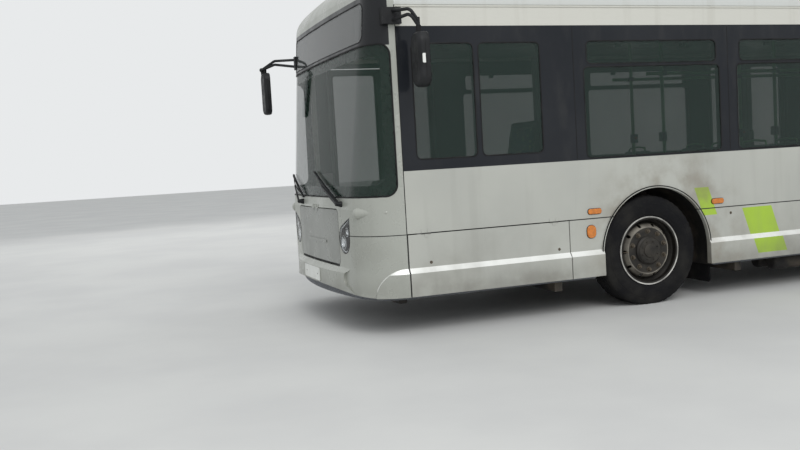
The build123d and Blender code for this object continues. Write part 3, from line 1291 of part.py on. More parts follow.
def rim_section(disc_out, hub_out, bore):
    """Drop-centre rim with its disc, as (radius, distance inward)."""
    seat = TYRE_SEAT_RADIUS
    bead = TYRE_WIDTH / 2 * (1 - TYRE_PROFILE[0][1])
    far = TYRE_WIDTH - bead
    return (
        (RIM_LIP_RADIUS, bead - 14), (RIM_LIP_RADIUS, bead - 4), (seat, bead), (seat, bead + 40),
        (RIM_WELL_RADIUS, bead + 70), (RIM_WELL_RADIUS, far - 60), (seat, far - 40),
        (seat, far), (RIM_LIP_RADIUS, far + 4), (RIM_LIP_RADIUS, far + 14),
        (seat - RIM_SHEET, far + 10), (seat - RIM_SHEET, far - 36),
        (RIM_WELL_RADIUS - RIM_SHEET, far - 56), (RIM_WELL_RADIUS - RIM_SHEET, bead + 84),
        (DISC_RADIUS, disc_out + DISC_SHEET), (HUB_RADIUS, disc_out + DISC_SHEET), (HUB_RADIUS, HUB_DEPTH),
        (bore, HUB_DEPTH), (bore, disc_out - hub_out + HUB_CAP), (0.0, disc_out - hub_out + HUB_CAP),
        (0.0, disc_out - hub_out), (HUB_RADIUS - HUB_BEVEL, disc_out - hub_out),
        (HUB_RADIUS, disc_out - hub_out + HUB_BEVEL), (HUB_RADIUS, disc_out), (DISC_RADIUS, disc_out),
        (RIM_WELL_RADIUS - RIM_SHEET, bead + 66),
        (seat - RIM_SHEET, bead + 36), (seat - RIM_SHEET, bead - 10),
    )


def rim(disc_out, hub_out, bore):
    """Rim, disc and hub in one, with hand holes through the disc's cone."""
    shape = turned(rim_section(disc_out, hub_out, bore), WHEEL_FACE_Y)
    for index in range(HAND_HOLES):
        angle = 2 * math.pi * index / HAND_HOLES
        x = HAND_HOLE_PCR * math.cos(angle)
        z = HAND_HOLE_PCR * math.sin(angle)
        shape = shape - rod((x, WHEEL_FACE_Y - HUB_DEPTH, z), (x, WHEEL_FACE_Y, z), HAND_HOLE_RADIUS)
    return shape


def wheel_place(shape, axle_x, side):
    placed = shape if side > 0 else mirrored_y(shape)
    return Pos(axle_x, 0, AXLE_Z) * placed


def front_wheel(side):
    return (wheel_place(tyre(WHEEL_FACE_Y), FRONT_AXLE_X, side),
            wheel_place(rim(FRONT_DISC_IN, FRONT_HUB_OUT, SPINDLE_RADIUS + BORE_FIT), FRONT_AXLE_X, side))


def rear_wheel(side):
    """Twin tyres, and the outer rim joined to the inner one by a spacer drum."""
    inner_face_y = WHEEL_FACE_Y - TYRE_WIDTH - TWIN_GAP
    tyres = [wheel_place(tyre(face_y), REAR_AXLE_X, side) for face_y in (WHEEL_FACE_Y, inner_face_y)]
    near = rim(REAR_DISC_IN, REAR_HUB_OUT, STUB_RADIUS + BORE_FIT)
    far = turned([(radius, TYRE_WIDTH - inward) for radius, inward in barrel_section()], inner_face_y)
    rims = merged([near, far, turned(spacer_section(), WHEEL_FACE_Y)])
    return Compound(children=tyres), wheel_place(rims, REAR_AXLE_X, side)


def barrel_section():
    """The inner twin's rim without its hub."""
    section = rim_section(REAR_DISC_IN, REAR_HUB_OUT, STUB_RADIUS + BORE_FIT)
    return [point for point in section if point[0] >= DISC_RADIUS]


def spacer_section():
    near = REAR_DISC_IN + DISC_SHEET - 1
    far = TYRE_WIDTH + TWIN_GAP + TYRE_WIDTH - REAR_DISC_IN - DISC_SHEET + 1
    outer = DISC_RADIUS + RIM_SHEET / 2
    inner = DISC_RADIUS - RIM_SHEET / 2
    return ((outer, near), (outer, far), (inner, far), (inner, near))


def shifted(profile, x, z):
    return [(x + ahead, z + above) for ahead, above in profile]


def seat(x, y, floor_z):
    """Moulded passenger seat on its leg, facing forward."""
    profile = FilletPolyline(*shifted(SEAT_PROFILE, x, floor_z), radius=SEAT_EDGE, close=True)
    shell = prism_y(make_face(profile), y - SEAT_WIDTH / 2, y + SEAT_WIDTH / 2)
    leg = block(x + SEAT_LEG_X[0], x + SEAT_LEG_X[1], y - SEAT_LEG_HALF_W, y + SEAT_LEG_HALF_W,
                floor_z + HOUSE_FIT, floor_z + SEAT_LEG_TOP)
    return shell + leg


def seats():
    rows = []
    for x, floor_z, places in SEAT_ROWS:
        for y in places:
            rows.append(seat(x, y, floor_z))
    return Compound(children=rows)


def driver_cabin():
    """Driver's platform, the partition behind the seat, and the low cab door."""
    rear_x = CAB_REAR_X
    wall_x = rear_x + CAB_SHEET
    low_z = FLOOR_Z + HOUSE_FIT
    platform = block(rear_x, CAB_FRONT_X, CAB_INNER_Y, WALL_REACH, low_z, CAB_FLOOR_Z)
    wall = block(rear_x, wall_x, CAB_INNER_Y, WALL_REACH, low_z, CAB_WALL_TOP_Z)
    window = rounded_rect(CAB_INNER_Y + CAB_WINDOW_BORDER, WALL_REACH - CAB_WINDOW_BORDER, CAB_WINDOW_LOW_Z,
                          CAB_WALL_TOP_Z - CAB_WINDOW_BORDER, CAB_WINDOW_CORNER)
    wall = wall - prism_x(window, rear_x - 1, wall_x + 1)
    gate = block(rear_x, CAB_GATE_FRONT_X, CAB_INNER_Y, CAB_INNER_Y + CAB_SHEET, low_z, CAB_GATE_TOP_Z)
    return merged([platform, wall, gate]) - housing_cut()


def driver_seat():
    x, y, z = DRIVER_SEAT
    half_length, half_width, height = DRIVER_SEAT_BASE
    profile = FilletPolyline(*shifted(DRIVER_SEAT_PROFILE, x, z), radius=DRIVER_SEAT_EDGE, close=True)
    shell = prism_y(make_face(profile), y - DRIVER_SEAT_HALF_W, y + DRIVER_SEAT_HALF_W)
    base = block(x - half_length, x + half_length, y - half_width, y + half_width, z + HOUSE_FIT, z + height)
    return shell + base


def dashboard():
    """Dashboard across the nose behind the windscreen."""
    profile = FilletPolyline(*DASH_PROFILE, radius=DASH_EDGE, close=True)
    top = prism_y(make_face(profile), DASH_RIGHT_Y, HALF_W)
    legs = block(DASH_LEG_X, X_FRONT, DASH_LEG_Y, HALF_W, FLOOR_Z + HOUSE_FIT, DASH_LOW_Z + 1)
    return (top + legs) & envelope(WALL + HOUSE_FIT)


def steering_wheel():
    x, y, z = STEERING_WHEEL
    tilt = math.radians(STEER_TILT)
    plane = Plane((x, y, z), x_dir=(0, 1, 0), z_dir=(-math.sin(tilt), 0, math.cos(tilt)))
    ring = plane * Torus(STEER_WHEEL_RADIUS, STEER_RING_RADIUS)
    spokes = plane * Box(2 * STEER_WHEEL_RADIUS, *STEER_SPOKE)
    hub = plane * Cylinder(*STEER_HUB)
    foot = Vector(x, y, z) - plane.z_dir * COLUMN_LENGTH
    above_floor = box_band(X_REAR, X_FRONT, CAB_FLOOR_Z + HOUSE_FIT, z + STEER_WHEEL_RADIUS)
    column = rod(foot, (x, y, z), COLUMN_RADIUS) & above_floor
    return merged([ring, spokes, hub, column])


def handrails():
    """Upright poles from floor to ceiling, and a long rail beside each row of poles."""
    ceiling = envelope(WALL + HOUSE_FIT)
    pieces = []
    for side in (1, -1):
        poles = [pole for pole in POLES if pole[1] * side > 0]
        for x, y, floor_z in poles:
            pieces.append(rod((x, y, floor_z + HOUSE_FIT), (x, y, ROOF_TOP_Z), POLE_RADIUS) & ceiling)
        xs = [pole[0] for pole in poles]
        y = poles[0][1] + side * (2 * POLE_RADIUS + HOUSE_FIT)
        pieces.append(rod((min(xs) - RAIL_END, y, RAIL_Z), (max(xs) + RAIL_END, y, RAIL_Z), POLE_RADIUS))
    return Compound(children=[solid for piece in pieces for solid in piece.solids()])


def under_tanks():
    """Air tanks and the fuel tank between the axles, hung from the floor plate."""
    pieces = []
    half = TANK_STRAP / 2
    for x0, x1, y, z, radius in AIR_TANKS:
        tank = fillet(rod((x0, y, z), (x1, y, z), radius).edges(), radius * 0.4)
        x = (x0 + x1) / 2
        strap = block(x - half, x + half, y - half, y + half, z, FLOOR_Z - FLOOR_PLATE - HOUSE_FIT)
        pieces.append(tank + strap)
    return Compound(children=pieces)


def engine_block():
    return block(ENGINE_REAR_X, ENGINE_FRONT_X, -ENGINE_HALF_W, ENGINE_HALF_W, ENGINE_LOW_Z, ENGINE_TOP_Z)


NODES = {
    "side_panel_left": side_panel(1),
    "side_panel_right": side_panel(-1),
    "service_flap": service_flap(),
    "window_frame_left": window_frame(1),
    "window_frame_right": window_frame(-1),
    "window_glass_left": window_glass(1),
    "window_glass_right": window_glass(-1),
    "roof": roof(),
    "roof_units": roof_units(),
    "front_mask": front_mask(),
    "front_bumper": front_bumper(),
    "front_hatch": front_hatch(),
    "windscreen": windscreen(),
    "sign_glass": sign_glass(),
    "sign_display": sign_display(),
    "headlamps": headlamps(),
    "wipers": wipers(),
    "mirror_left": mirror_left(),
    "mirror_right": mirror_right(),
    "rear_wall": rear_wall(),
    "rear_bumper": rear_bumper(),
    "rear_glass": rear_glass(),
    "engine_lid": engine_lid(),
    "tail_lamps": tail_lamps(),
    "side_lamps": side_lamps(),
    "wheel_housings": wheel_housings(),
    "floor": floor(),
    "chassis": chassis(),
    "front_axle": front_axle(),
    "rear_axle": rear_axle(),
    "engine": engine_block(),
    "under_tanks": under_tanks(),
    "seats": seats(),
    "driver_cabin": driver_cabin(),
    "driver_seat": driver_seat(),
    "dashboard": dashboard(),
    "steering_wheel": steering_wheel(),
    "handrails": handrails(),
}

for side_name, side in (("left", 1), ("right", -1)):
    NODES["knuckle_" + side_name] = knuckle(side)
    front_tyre, front_rim = front_wheel(side)
    NODES["front_tyre_" + side_name] = front_tyre
    NODES["front_rim_" + side_name] = front_rim
    rear_tyres, rear_rims = rear_wheel(side)
    NODES["rear_tyres_" + side_name] = rear_tyres
    NODES["rear_rims_" + side_name] = rear_rims

for door_name, door_x in DOORS:
    for leaf_name, hand in (("fore", 1), ("aft", -1)):
        NODES[door_name + "_" + leaf_name] = door_leaf(door_x, hand)
        NODES[door_name + "_" + leaf_name + "_glass"] = door_glass(door_x, hand)

os.makedirs("parts", exist_ok=True)
for node_name, shape in NODES.items():
    export_step(shape, os.path.join("parts", node_name + ".step"))
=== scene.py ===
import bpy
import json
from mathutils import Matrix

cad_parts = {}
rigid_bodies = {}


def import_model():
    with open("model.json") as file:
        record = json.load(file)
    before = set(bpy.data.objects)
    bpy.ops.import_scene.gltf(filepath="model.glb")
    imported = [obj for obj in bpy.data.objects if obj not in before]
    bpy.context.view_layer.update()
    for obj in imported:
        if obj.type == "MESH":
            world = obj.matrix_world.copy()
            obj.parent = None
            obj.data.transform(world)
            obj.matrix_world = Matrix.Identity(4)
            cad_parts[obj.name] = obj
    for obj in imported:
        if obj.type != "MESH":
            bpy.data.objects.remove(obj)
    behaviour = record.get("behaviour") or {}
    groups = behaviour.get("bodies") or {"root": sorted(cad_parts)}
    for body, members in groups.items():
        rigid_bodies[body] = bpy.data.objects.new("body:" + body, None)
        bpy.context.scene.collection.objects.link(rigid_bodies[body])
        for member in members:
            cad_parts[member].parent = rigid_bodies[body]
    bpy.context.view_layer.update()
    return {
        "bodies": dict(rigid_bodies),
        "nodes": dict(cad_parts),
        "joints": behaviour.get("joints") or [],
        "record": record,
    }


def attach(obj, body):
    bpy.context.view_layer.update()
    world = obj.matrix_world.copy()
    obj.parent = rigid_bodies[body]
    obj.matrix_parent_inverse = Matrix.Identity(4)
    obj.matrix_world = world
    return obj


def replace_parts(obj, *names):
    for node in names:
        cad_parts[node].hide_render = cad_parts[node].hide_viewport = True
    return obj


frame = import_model()

import fnmatch
import json
import math

import bmesh
import bpy
from mathutils import Matrix, Vector

# City bus, dressed. Metres: X forward, Y to the left, Z up, as in the solids.
SIDES = ((1, "left"), (-1, "right"))

# Sizes shared with the solids
FRONT_AXLE_X = 3.27
REAR_AXLE_X = -2.85
AXLE_Z = 0.468
HALF_W = 1.25
SKIRT_STEP = 0.025
FACE_X = 5.914
X_FRONT = 5.97
TAIL_X = -6.005
MASK_SEAM_X = 5.521
TAIL_SEAM_X = TAIL_X + 0.15
KNEE_Z = 1.0
LOFT_TOP_Z = 3.26
FACE_LEAN = 0.103
CORNER_RADIUS = 0.38
CORNER_BLEND = 0.033
BROW_CORNER_RADIUS = 0.16
SKIRT_Z = 0.302
BEVEL_LOW_Z = 0.485
BEVEL_TOP_Z = 0.525
FLAP_TOP_Z = 0.792
WAIST_Z = 1.286
CANTRAIL_Z = 2.401
GROOVE_Z = 2.564
ROOF_TOP_Z = 2.96
FRONT_ARCH_X = FRONT_AXLE_X - 0.06
FLAP_REAR_X = FRONT_AXLE_X + 0.81
SKIRT_JOINTS_X = (FRONT_AXLE_X - 2.44, FRONT_AXLE_X - 4.01, REAR_AXLE_X - 1.2, REAR_AXLE_X + 0.9)

# Front: windscreen, sign, lamps, wipers, plate, mirrors
SCREEN_EDGE_X = MASK_SEAM_X + 0.052
SCREEN_LOW_Z = 1.1
SCREEN_TOP_Z = 2.275
SCREEN_CORNER = 0.09
SIGN_LOW_Z = 2.305
SIGN_TOP_Z = 2.61
SIGN_HALF_W = 1.08
SIGN_CORNER = 0.06
BROW_BLACK_Z = (2.262, 2.652)
LAMP_CENTRE = (0.775, 0.76)
LAMP_RADIUS = 0.112
LAMP_TIP = (0.9, 0.93)
HATCH_SLOT_HALF_W = 0.612
HATCH_SLOT_Z = 0.535
WIPERS = ((0.74, 0.33, 1.19, 0.76), (-0.48, -0.7, 1.19, 0.62))  # pivot y, arm tip y and z, blade length
WIPER_PIVOT_Z = 1.045
WIPER_OUT = 0.046
BLADE_SLOPE = (0.94, -0.34)
FRONT_PLATE = (X_FRONT, -0.04, 0.425)
FRONT_PLATE_SIZE = (0.518, 0.112)
MIRRORS = {  # centre of the head; its depth, width and height
    "left": ((FRONT_AXLE_X + 2.149, 1.48, 2.117), (0.08, 0.19, 0.41)),
    "right": ((X_FRONT + 0.008, -1.465, 2.14), (0.06, 0.18, 0.43)),
}

# Sides: panes, doors, lamps
BAY_PITCH = 1.57
BAY_FIRST_X = FRONT_AXLE_X - 0.085
BAY_COUNT = 6
PANE_WIDTH = 1.382
PANE_LOW_Z = 1.3
PANE_TOP_Z = 2.06
HOPPER_WIDTH = 1.317
HOPPER_LOW_Z = 2.082
HOPPER_TOP_Z = 2.272
PANE_CORNER = 0.045
CAB_PANES = ((2.13, 1.606), (1.563, 1.013))
CAB_PANE_LOW_Z = 1.37
CAB_PANE_TOP_Z = 2.268
PANEL_GAP = 0.008
DOOR_WIDTH = 1.2
DOOR_SILL_Z = 0.34
DOOR_HEAD_Z = 2.352
DOOR_THICK = 0.04
DOOR_MEET_GAP = 0.016
DOOR_BORDER = 0.058
DOOR_PANE_CORNER = 0.035
DOORS = {"front_door": FRONT_AXLE_X + 1.53, "mid_door": BAY_FIRST_X - 2 * BAY_PITCH}
MARKER = (0.851, 0.13, 0.045)  # height of its place, then length and height of the lamp
MARKERS_X = tuple(FRONT_AXLE_X + ahead for ahead in (0.558, -0.708, -2.3, -4.0)) + (REAR_AXLE_X - 0.9,)
SIDE_LAMPS = tuple((x,) + MARKER for x in MARKERS_X) + ((FRONT_AXLE_X + 0.597, 0.682, 0.086, 0.108),)
ARCH_LIP_RADIUS = 0.558
MUD_FLAP_BACK = 0.604
LIME_PATCHES = (  # centre along and up, length, height
    (FRONT_AXLE_X - 0.583, 0.857, 0.15, 0.25),
    (FRONT_AXLE_X - 1.215, 0.56, 0.33, 0.42),
)
LIME_LEAN = 0.35

# Tail and roof
REAR_GLASS_HALF_W = 0.9
REAR_GLASS_LOW_Z = 1.56
REAR_GLASS_TOP_Z = 2.23
REAR_GLASS_CORNER = 0.08
LOUVRE_BANKS_Y = (-0.45, 0.45)
TAIL_LAMP_Y = 1.07
TAIL_LAMP_Z = (0.76, 0.9, 1.04, 1.18)
HATCH_TOP_Z = ROOF_TOP_Z + 0.055
ROOF_HATCHES = (  # rear end, front end, half width
    (FRONT_AXLE_X - 1.5, FRONT_AXLE_X - 0.6, 0.38),
    (REAR_AXLE_X + 1.5, REAR_AXLE_X + 2.4, 0.38),
)
FAIRING = (-5.73, REAR_AXLE_X + 0.3, 0.78, ROOF_TOP_Z + 0.11)  # the same, and the top

# Wheels and rear axle
WHEEL_FACE_Y = 1.235
TYRE_WIDTH = 0.275
TYRE_RADIUS = 0.478
TYRE_SEAT_RADIUS = 0.286
TWIN_GAP = 0.04
NUT_RING_RADIUS = 0.167
PORTAL_Z = 0.29

# Saloon and driver's place
FLOOR_Z = 0.34
REAR_FLOOR_Z = 0.52
ENGINE_DECK_Z = 1.18
WINDOW_SEAT = 0.94
AISLE_SEAT = 0.49
FOUR_ACROSS = (WINDOW_SEAT, AISLE_SEAT, -AISLE_SEAT, -WINDOW_SEAT)
SEAT_ROWS = (  # place along, floor level, places across
    (FRONT_AXLE_X - 1.15, FLOOR_Z, (WINDOW_SEAT, AISLE_SEAT)),
    (FRONT_AXLE_X - 1.95, FLOOR_Z, (WINDOW_SEAT, AISLE_SEAT)),
    (FRONT_AXLE_X - 3.4, FLOOR_Z, (WINDOW_SEAT,)),
    (FRONT_AXLE_X - 1.15, FLOOR_Z, (-WINDOW_SEAT,)),
    (FRONT_AXLE_X - 1.95, FLOOR_Z, (-WINDOW_SEAT,)),
    (REAR_AXLE_X + 1.15, REAR_FLOOR_Z, FOUR_ACROSS),
    (REAR_AXLE_X - 0.9, REAR_FLOOR_Z, FOUR_ACROSS),
    (-5.13, ENGINE_DECK_Z, (WINDOW_SEAT, AISLE_SEAT, 0.0, -AISLE_SEAT, -WINDOW_SEAT)),
)
POLES = tuple(  # x, y, floor level
    (x, y, floor_z)
    for y in (0.26, -0.26)
    for x, floor_z in (
        (FRONT_AXLE_X - 0.9, FLOOR_Z),
        (FRONT_AXLE_X - 2.3, FLOOR_Z),
        (FRONT_AXLE_X - (3.7 if y > 0 else 4.2), FLOOR_Z),
        (REAR_AXLE_X + 0.8, REAR_FLOOR_Z),
        (REAR_AXLE_X - 1.2, REAR_FLOOR_Z),
    )
)
RAIL_Z = 2.08
DRIVER_SEAT = (FRONT_AXLE_X + 1.15, 0.76, 0.52)
DASH_REAR_X = FACE_X - 0.56
STEERING_WHEEL = (FRONT_AXLE_X + 1.86, 0.76, 1.23)
STEER_TILT = math.radians(25)
DUCT_REAR_X = -4.6
DUCT_FRONT_X = 5.0
HEATER_RUNS = ((FRONT_AXLE_X - 2.9, FRONT_AXLE_X - 0.72), (FRONT_AXLE_X - 4.36, FRONT_AXLE_X - 3.0))

# Camera of the photograph: place, then yaw, pitch and roll in degrees
CAMERA_PLACE = (7.945, 7.799, 1.363)
CAMERA_TURN = (-109.9, -4.02, -3.35)
CAMERA_LENS = 40.48


def at_door(side, x, reach):
    """Whether a place is within reach of a door. All doors are on the right."""
    return side < 0 and any(abs(x - door_x) < reach for door_x in DOORS.values())


def linear(value):
    share = value / 255
    return share / 12.92 if share <= 0.04045 else ((share + 0.055) / 1.055) ** 2.4


def rgb(red, green, blue):
    """A colour read off the photograph, as the shader takes it."""
    return (linear(red), linear(green), linear(blue), 1.0)


def dimmed(colour, share):
    return tuple(share * part for part in colour[:3]) + (1.0,)


class Shade:
    """A node material with short calls for what the finishes share."""

    def __init__(self, name, colour, rough=0.5, metal=0.0, **sockets):
        self.material = bpy.data.materials.new(name)
        self.material.use_nodes = True
        self.tree = self.material.node_tree
        self.bsdf = self.tree.nodes["Principled BSDF"]
        self.bsdf.inputs["Base Color"].default_value = colour
        self.bsdf.inputs["Roughness"].default_value = rough
        self.bsdf.inputs["Metallic"].default_value = metal
        for socket, value in sockets.items():
            self.bsdf.inputs[socket.replace("_", " ")].default_value = value
        self.place = self.put("TexCoord").outputs["Object"]
        self.colour = colour

    def put(self, kind, inputs=(), **settings):
        node = self.tree.nodes.new("ShaderNode" + kind)
        for key, value in settings.items():
            setattr(node, key, value)
        for key, value in dict(inputs).items():
            if isinstance(value, bpy.types.NodeSocket):
                self.tree.links.new(value, node.inputs[key])
            else:
                node.inputs[key].default_value = value
        return node

    def noise(self, scale, detail, stretch=(1, 1, 1)):
        where = self.put("Mapping", {"Vector": self.place, "Scale": stretch}).outputs["Vector"]
        settings = {"Vector": where, "Scale": scale, "Detail": detail, "Roughness": 0.55}
        return self.put("TexNoise", settings).outputs["Fac"]

    def span(self, value, low, high, to_low=0.0, to_high=1.0):
        inputs = {"Value": value, "From Min": low, "From Max": high, "To Min": to_low, "To Max": to_high}
        return self.put("MapRange", inputs, interpolation_type="SMOOTHSTEP").outputs["Result"]

    def patch(self, scale, detail, low, high, to_low=0.0, to_high=1.0, stretch=(1, 1, 1)):
        """Noise of a scale and detail, spread over a span."""
        return self.span(self.noise(scale, detail, stretch), low, high, to_low, to_high)

    def calc(self, operation, first, second=0.0):
        return self.put("Math", {0: first, 1: second}, operation=operation).outputs["Value"]

    def times(self, first, *others):
        for other in others:
            first = self.calc("MULTIPLY", first, other)
        return first

    def axis(self, name, start=0.0):
        place = self.put("SeparateXYZ", {"Vector": self.place}).outputs[name]
        return self.calc("SUBTRACT", place, start) if start else place

    def off(self, name, plane=0.0):
        """Distance from a plane across an axis."""
        return self.calc("ABSOLUTE", self.axis(name, plane))

    def within(self, distance, half, soft=0.001):
        """One where a distance is under half, with a soft edge."""
        return self.span(distance, half + soft, half - soft)

    def beyond(self, name, plane, soft):
        return self.span(self.axis(name), plane - soft, plane + soft)

    def far(self, first, second):
        squares = [self.calc("POWER", value, 2.0) for value in (first, second)]
        return self.calc("SQRT", self.calc("ADD", *squares))

    def blend(self, share, first, second):
        inputs = {"Factor": share, 6: first, 7: second}
        return self.put("Mix", inputs, data_type="RGBA").outputs[2]

    def paint(self, colour):
        self.tree.links.new(colour, self.bsdf.inputs["Base Color"])
        self.colour = colour

    def mottle(self, first, second, *patch):
        """Paints two colours in patches."""
        self.paint(self.blend(self.patch(*patch), first, second))

    def over(self, share, colour):
        """Lays a colour over what is there, where share says."""
        self.paint(self.blend(share, self.colour, colour))

    def gloss(self, *patch):
        """Roughness in patches."""
        self.tree.links.new(self.patch(*patch), self.bsdf.inputs["Roughness"])

    def bump(self, height, depth, strength):
        node = self.put("Bump", {"Height": height, "Distance": depth, "Strength": strength})
        self.tree.links.new(node.outputs["Normal"], self.bsdf.inputs["Normal"])
        return self.material

    def grain(self, scale, detail, depth, strength):
        return self.bump(self.noise(scale, detail), depth, strength)


def grime(shade, strength=1.0):
    """Road film: faint rain streaks, a brown haze low on the walls, splashes, and spray round the arches."""
    height = shade.axis("Z")
    streaks = shade.patch(9, 3, 0.52, 0.72, 0, 0.1 * strength, (1, 1, 0.07))
    film = shade.times(shade.span(height, 0.95, 0.28), shade.patch(2.1, 6, 0.38, 0.72), 0.42 * strength)
    splashed = shade.patch(5, 7, 0.25, 0.65, 0.3, 1)
    splash = shade.times(shade.span(height, 0.52, 0.31), splashed, 0.42 * strength)
    sprays = [arch_spray(shade, arch_x) for arch_x in (FRONT_ARCH_X, REAR_AXLE_X)]
    spray = shade.times(shade.calc("MAXIMUM", *sprays), 0.55 * strength)
    shade.over(streaks, rgb(128, 126, 118))
    shade.over(film, rgb(112, 106, 94))
    shade.over(splash, rgb(96, 92, 82))
    shade.over(spray, rgb(124, 112, 94))


def arch_spray(shade, arch_x):
    """Strong close behind and above the arch, fading out over half a metre."""
    reach = shade.far(shade.axis("X", arch_x - 0.12), shade.axis("Z", AXLE_Z + 0.1))
    return shade.times(shade.span(reach, 0.98, 0.52), shade.patch(3.4, 5, 0.34, 0.66))


def white_stripe(shade):
    """The bevel over the skirt: low faces that look partly upward."""
    tilt = shade.put("SeparateXYZ", {"Vector": shade.put("NewGeometry").outputs["Normal"]}).outputs["Z"]
    low = shade.span(shade.axis("Z"), FLAP_TOP_Z - 0.03, FLAP_TOP_Z - 0.05)
    high = shade.span(shade.axis("Z"), SKIRT_Z + 0.03, SKIRT_Z + 0.05)
    return shade.times(low, high, shade.span(tilt, 0.2, 0.3))


def slanted_patch(shade, centre_x, centre_z, length, height):
    """A block with slanted ends on both sides of the body."""
    up = shade.axis("Z", centre_z)
    along = shade.calc("SUBTRACT", shade.axis("X", centre_x), shade.times(up, LIME_LEAN))
    return shade.times(shade.within(shade.calc("ABSOLUTE", along), length / 2),
                       shade.within(shade.calc("ABSOLUTE", up), height / 2))


def groove_shade_and_dirt(shade):
    """Painted shade and dirt in the grooves between waist panel and skirt, and between the skirt's lengths.
    """
    dark = shade.within(shade.off("Z", FLAP_TOP_Z), 0.0045, 0.0007)
    below = shade.beyond("Z", FLAP_TOP_Z, -0.001)
    for joint_x in SKIRT_JOINTS_X:
        joint = shade.within(shade.off("X", joint_x), 0.0045, 0.0007)
        dark = shade.calc("MAXIMUM", dark, shade.times(below, joint))
    return dark


def inner_side(shade):
    """The side panels' faces towards the saloon, which are lined in plain grey."""
    return shade.times(shade.within(shade.off("Y"), HALF_W - 0.038, 0.002),
                       shade.beyond("X", TAIL_SEAM_X + 0.002, 0.001),
                       shade.beyond("X", MASK_SEAM_X - 0.002, -0.001))


def flecked_silver(name, base, light, dark, metal, **sockets):
    shade = Shade(name, base, 0.36, metal, **sockets)
    shade.mottle(light, dark, 1.3, 3, 0.3, 0.7)
    shade.over(shade.patch(900, 1, 0.56, 0.66, 0, 0.25), rgb(198, 200, 194))
    return shade


def silver_paint():
    shade = flecked_silver("silver_paint", rgb(182, 183, 176), rgb(186, 187, 179), rgb(178, 179, 172), 0.12,
                           Coat_Weight=0.3, Coat_Roughness=0.12)
    for patch in LIME_PATCHES:
        shade.over(slanted_patch(shade, *patch), rgb(170, 204, 58))
    shade.over(white_stripe(shade), rgb(238, 239, 234))
    grime(shade)
    # Painted shade and dirt: dark in the grooves between the panels.
    shade.over(groove_shade_and_dirt(shade), rgb(38, 37, 35))
    shade.over(inner_side(shade), rgb(150, 151, 147))
    shade.gloss(5, 5, 0.3, 0.75, 0.28, 0.5)
    return shade.grain(260, 2, 0.0002, 0.25)


def mask_paint(name, light, dark):
    """Front mask, bumper and hatch: a black brow round the sign, a white stripe at the corners only."""
    shade = flecked_silver(name, light, light, dark, 0.15, Specular_IOR_Level=0.4)
    outboard = shade.span(shade.off("Y"), 0.9, 0.94)
    shade.over(shade.times(white_stripe(shade), outboard), rgb(238, 239, 234))
    grime(shade, 0.7)
    low_z, top_z = BROW_BLACK_Z
    brow = shade.times(shade.beyond("Z", low_z, 0.002), shade.beyond("Z", top_z, -0.002),
                       shade.beyond("X", SCREEN_EDGE_X, 0.001))
    shade.over(brow, rgb(24, 26, 29))
    shade.gloss(5, 5, 0.3, 0.75, 0.24, 0.42)
    return shade.grain(260, 2, 0.0002, 0.2)


def roof_paint():
    shade = Shade("roof_paint", rgb(216, 217, 210), 0.42, 0.0, Coat_Weight=0.2, Coat_Roughness=0.2)
    shade.paint(shade.blend(shade.beyond("Z", GROOVE_Z, 0.01), rgb(206, 205, 196), rgb(200, 202, 198)))
    soil = shade.patch(1.7, 7, 0.42, 0.8, 0, 0.45, (0.4, 1, 1))
    shade.over(shade.times(soil, shade.span(shade.axis("Z"), 2.72, 2.9)), rgb(150, 148, 138))
    shade.over(shade.patch(11, 3, 0.55, 0.75, 0, 0.16, (1, 1, 0.05)), rgb(160, 156, 144))
    shade.gloss(4, 5, 0.3, 0.75, 0.34, 0.58)
    return shade.grain(180, 2, 0.0002, 0.2)


def black_band():
    shade = Shade("black_band", rgb(32, 35, 40), 0.16, 0.0, Specular_IOR_Level=0.22)
    shade.mottle(rgb(30, 33, 38), rgb(40, 42, 46), 0.9, 4, 0.35, 0.7)
    shade.over(shade.patch(7, 6, 0.5, 0.8, 0, 0.14, (1, 1, 0.3)), rgb(90, 88, 84))
    shade.gloss(6, 5, 0.35, 0.75, 0.1, 0.26)
    return shade.grain(3, 1, 0.001, 0.12)


def glass(name, colour, cover, index=1.45):
    """Tinted pane: cover is how much of what lies behind it the tint hides. Thin dust dulls it in places."""
    shade = Shade(name, colour, 0.02, 0.0, IOR=index, Alpha=cover)
    shade.mottle(colour, dimmed(colour, 0.8), 2.5, 5, 0.45, 0.8)
    shade.over(shade.patch(1.6, 2, 0.45, 0.75, 0, 0.08, (1, 1, 0.5)), rgb(120, 124, 120))
    shade.gloss(2, 2, 0.4, 0.8, 0.01, 0.05, (1, 1, 0.4))
    return shade.grain(0.8, 1, 0.0004, 0.08)


def bare(name, colour, rough, metal, gloss, grain, **sockets):
    """One plain colour whose gloss and surface vary."""
    shade = Shade(name, colour, rough, metal, **sockets)
    shade.gloss(*gloss)
    return shade.grain(*grain)


def plastic(name, dark, light, rough=0.55, grain=420, depth=0.0004):
    shade = Shade(name, dark, rough, Specular_IOR_Level=0.3)
    shade.mottle(dark, light, 6, 6, 0.35, 0.75)
    shade.gloss(14, 4, 0.3, 0.7, rough - 0.12, rough + 0.12)
    return shade.grain(grain, 2, depth, 0.5)


def lens(name, colour):
    shade = Shade(name, colour, 0.08, 0.0, Transmission_Weight=0.25, IOR=1.49, Coat_Weight=0.7,
                  Coat_Roughness=0.05)
    shade.mottle(colour, dimmed(colour, 0.72), 30, 4, 0.3, 0.7)
    ribs = shade.put("TexWave", {"Vector": shade.place, "Scale": 60, "Distortion": 0}, bands_direction="Z")
    return shade.bump(ribs.outputs["Fac"], 0.0008, 0.5)


def painted_metal(name, colour, worn, rough=0.4, metal=0.3, wear_scale=5):
    shade = Shade(name, colour, rough, metal)
    shade.mottle(colour, worn, wear_scale, 7, 0.48, 0.72)
    shade.gloss(8, 5, 0.3, 0.7, rough - 0.1, rough + 0.15)
    return shade.grain(90, 4, 0.0006, 0.35)


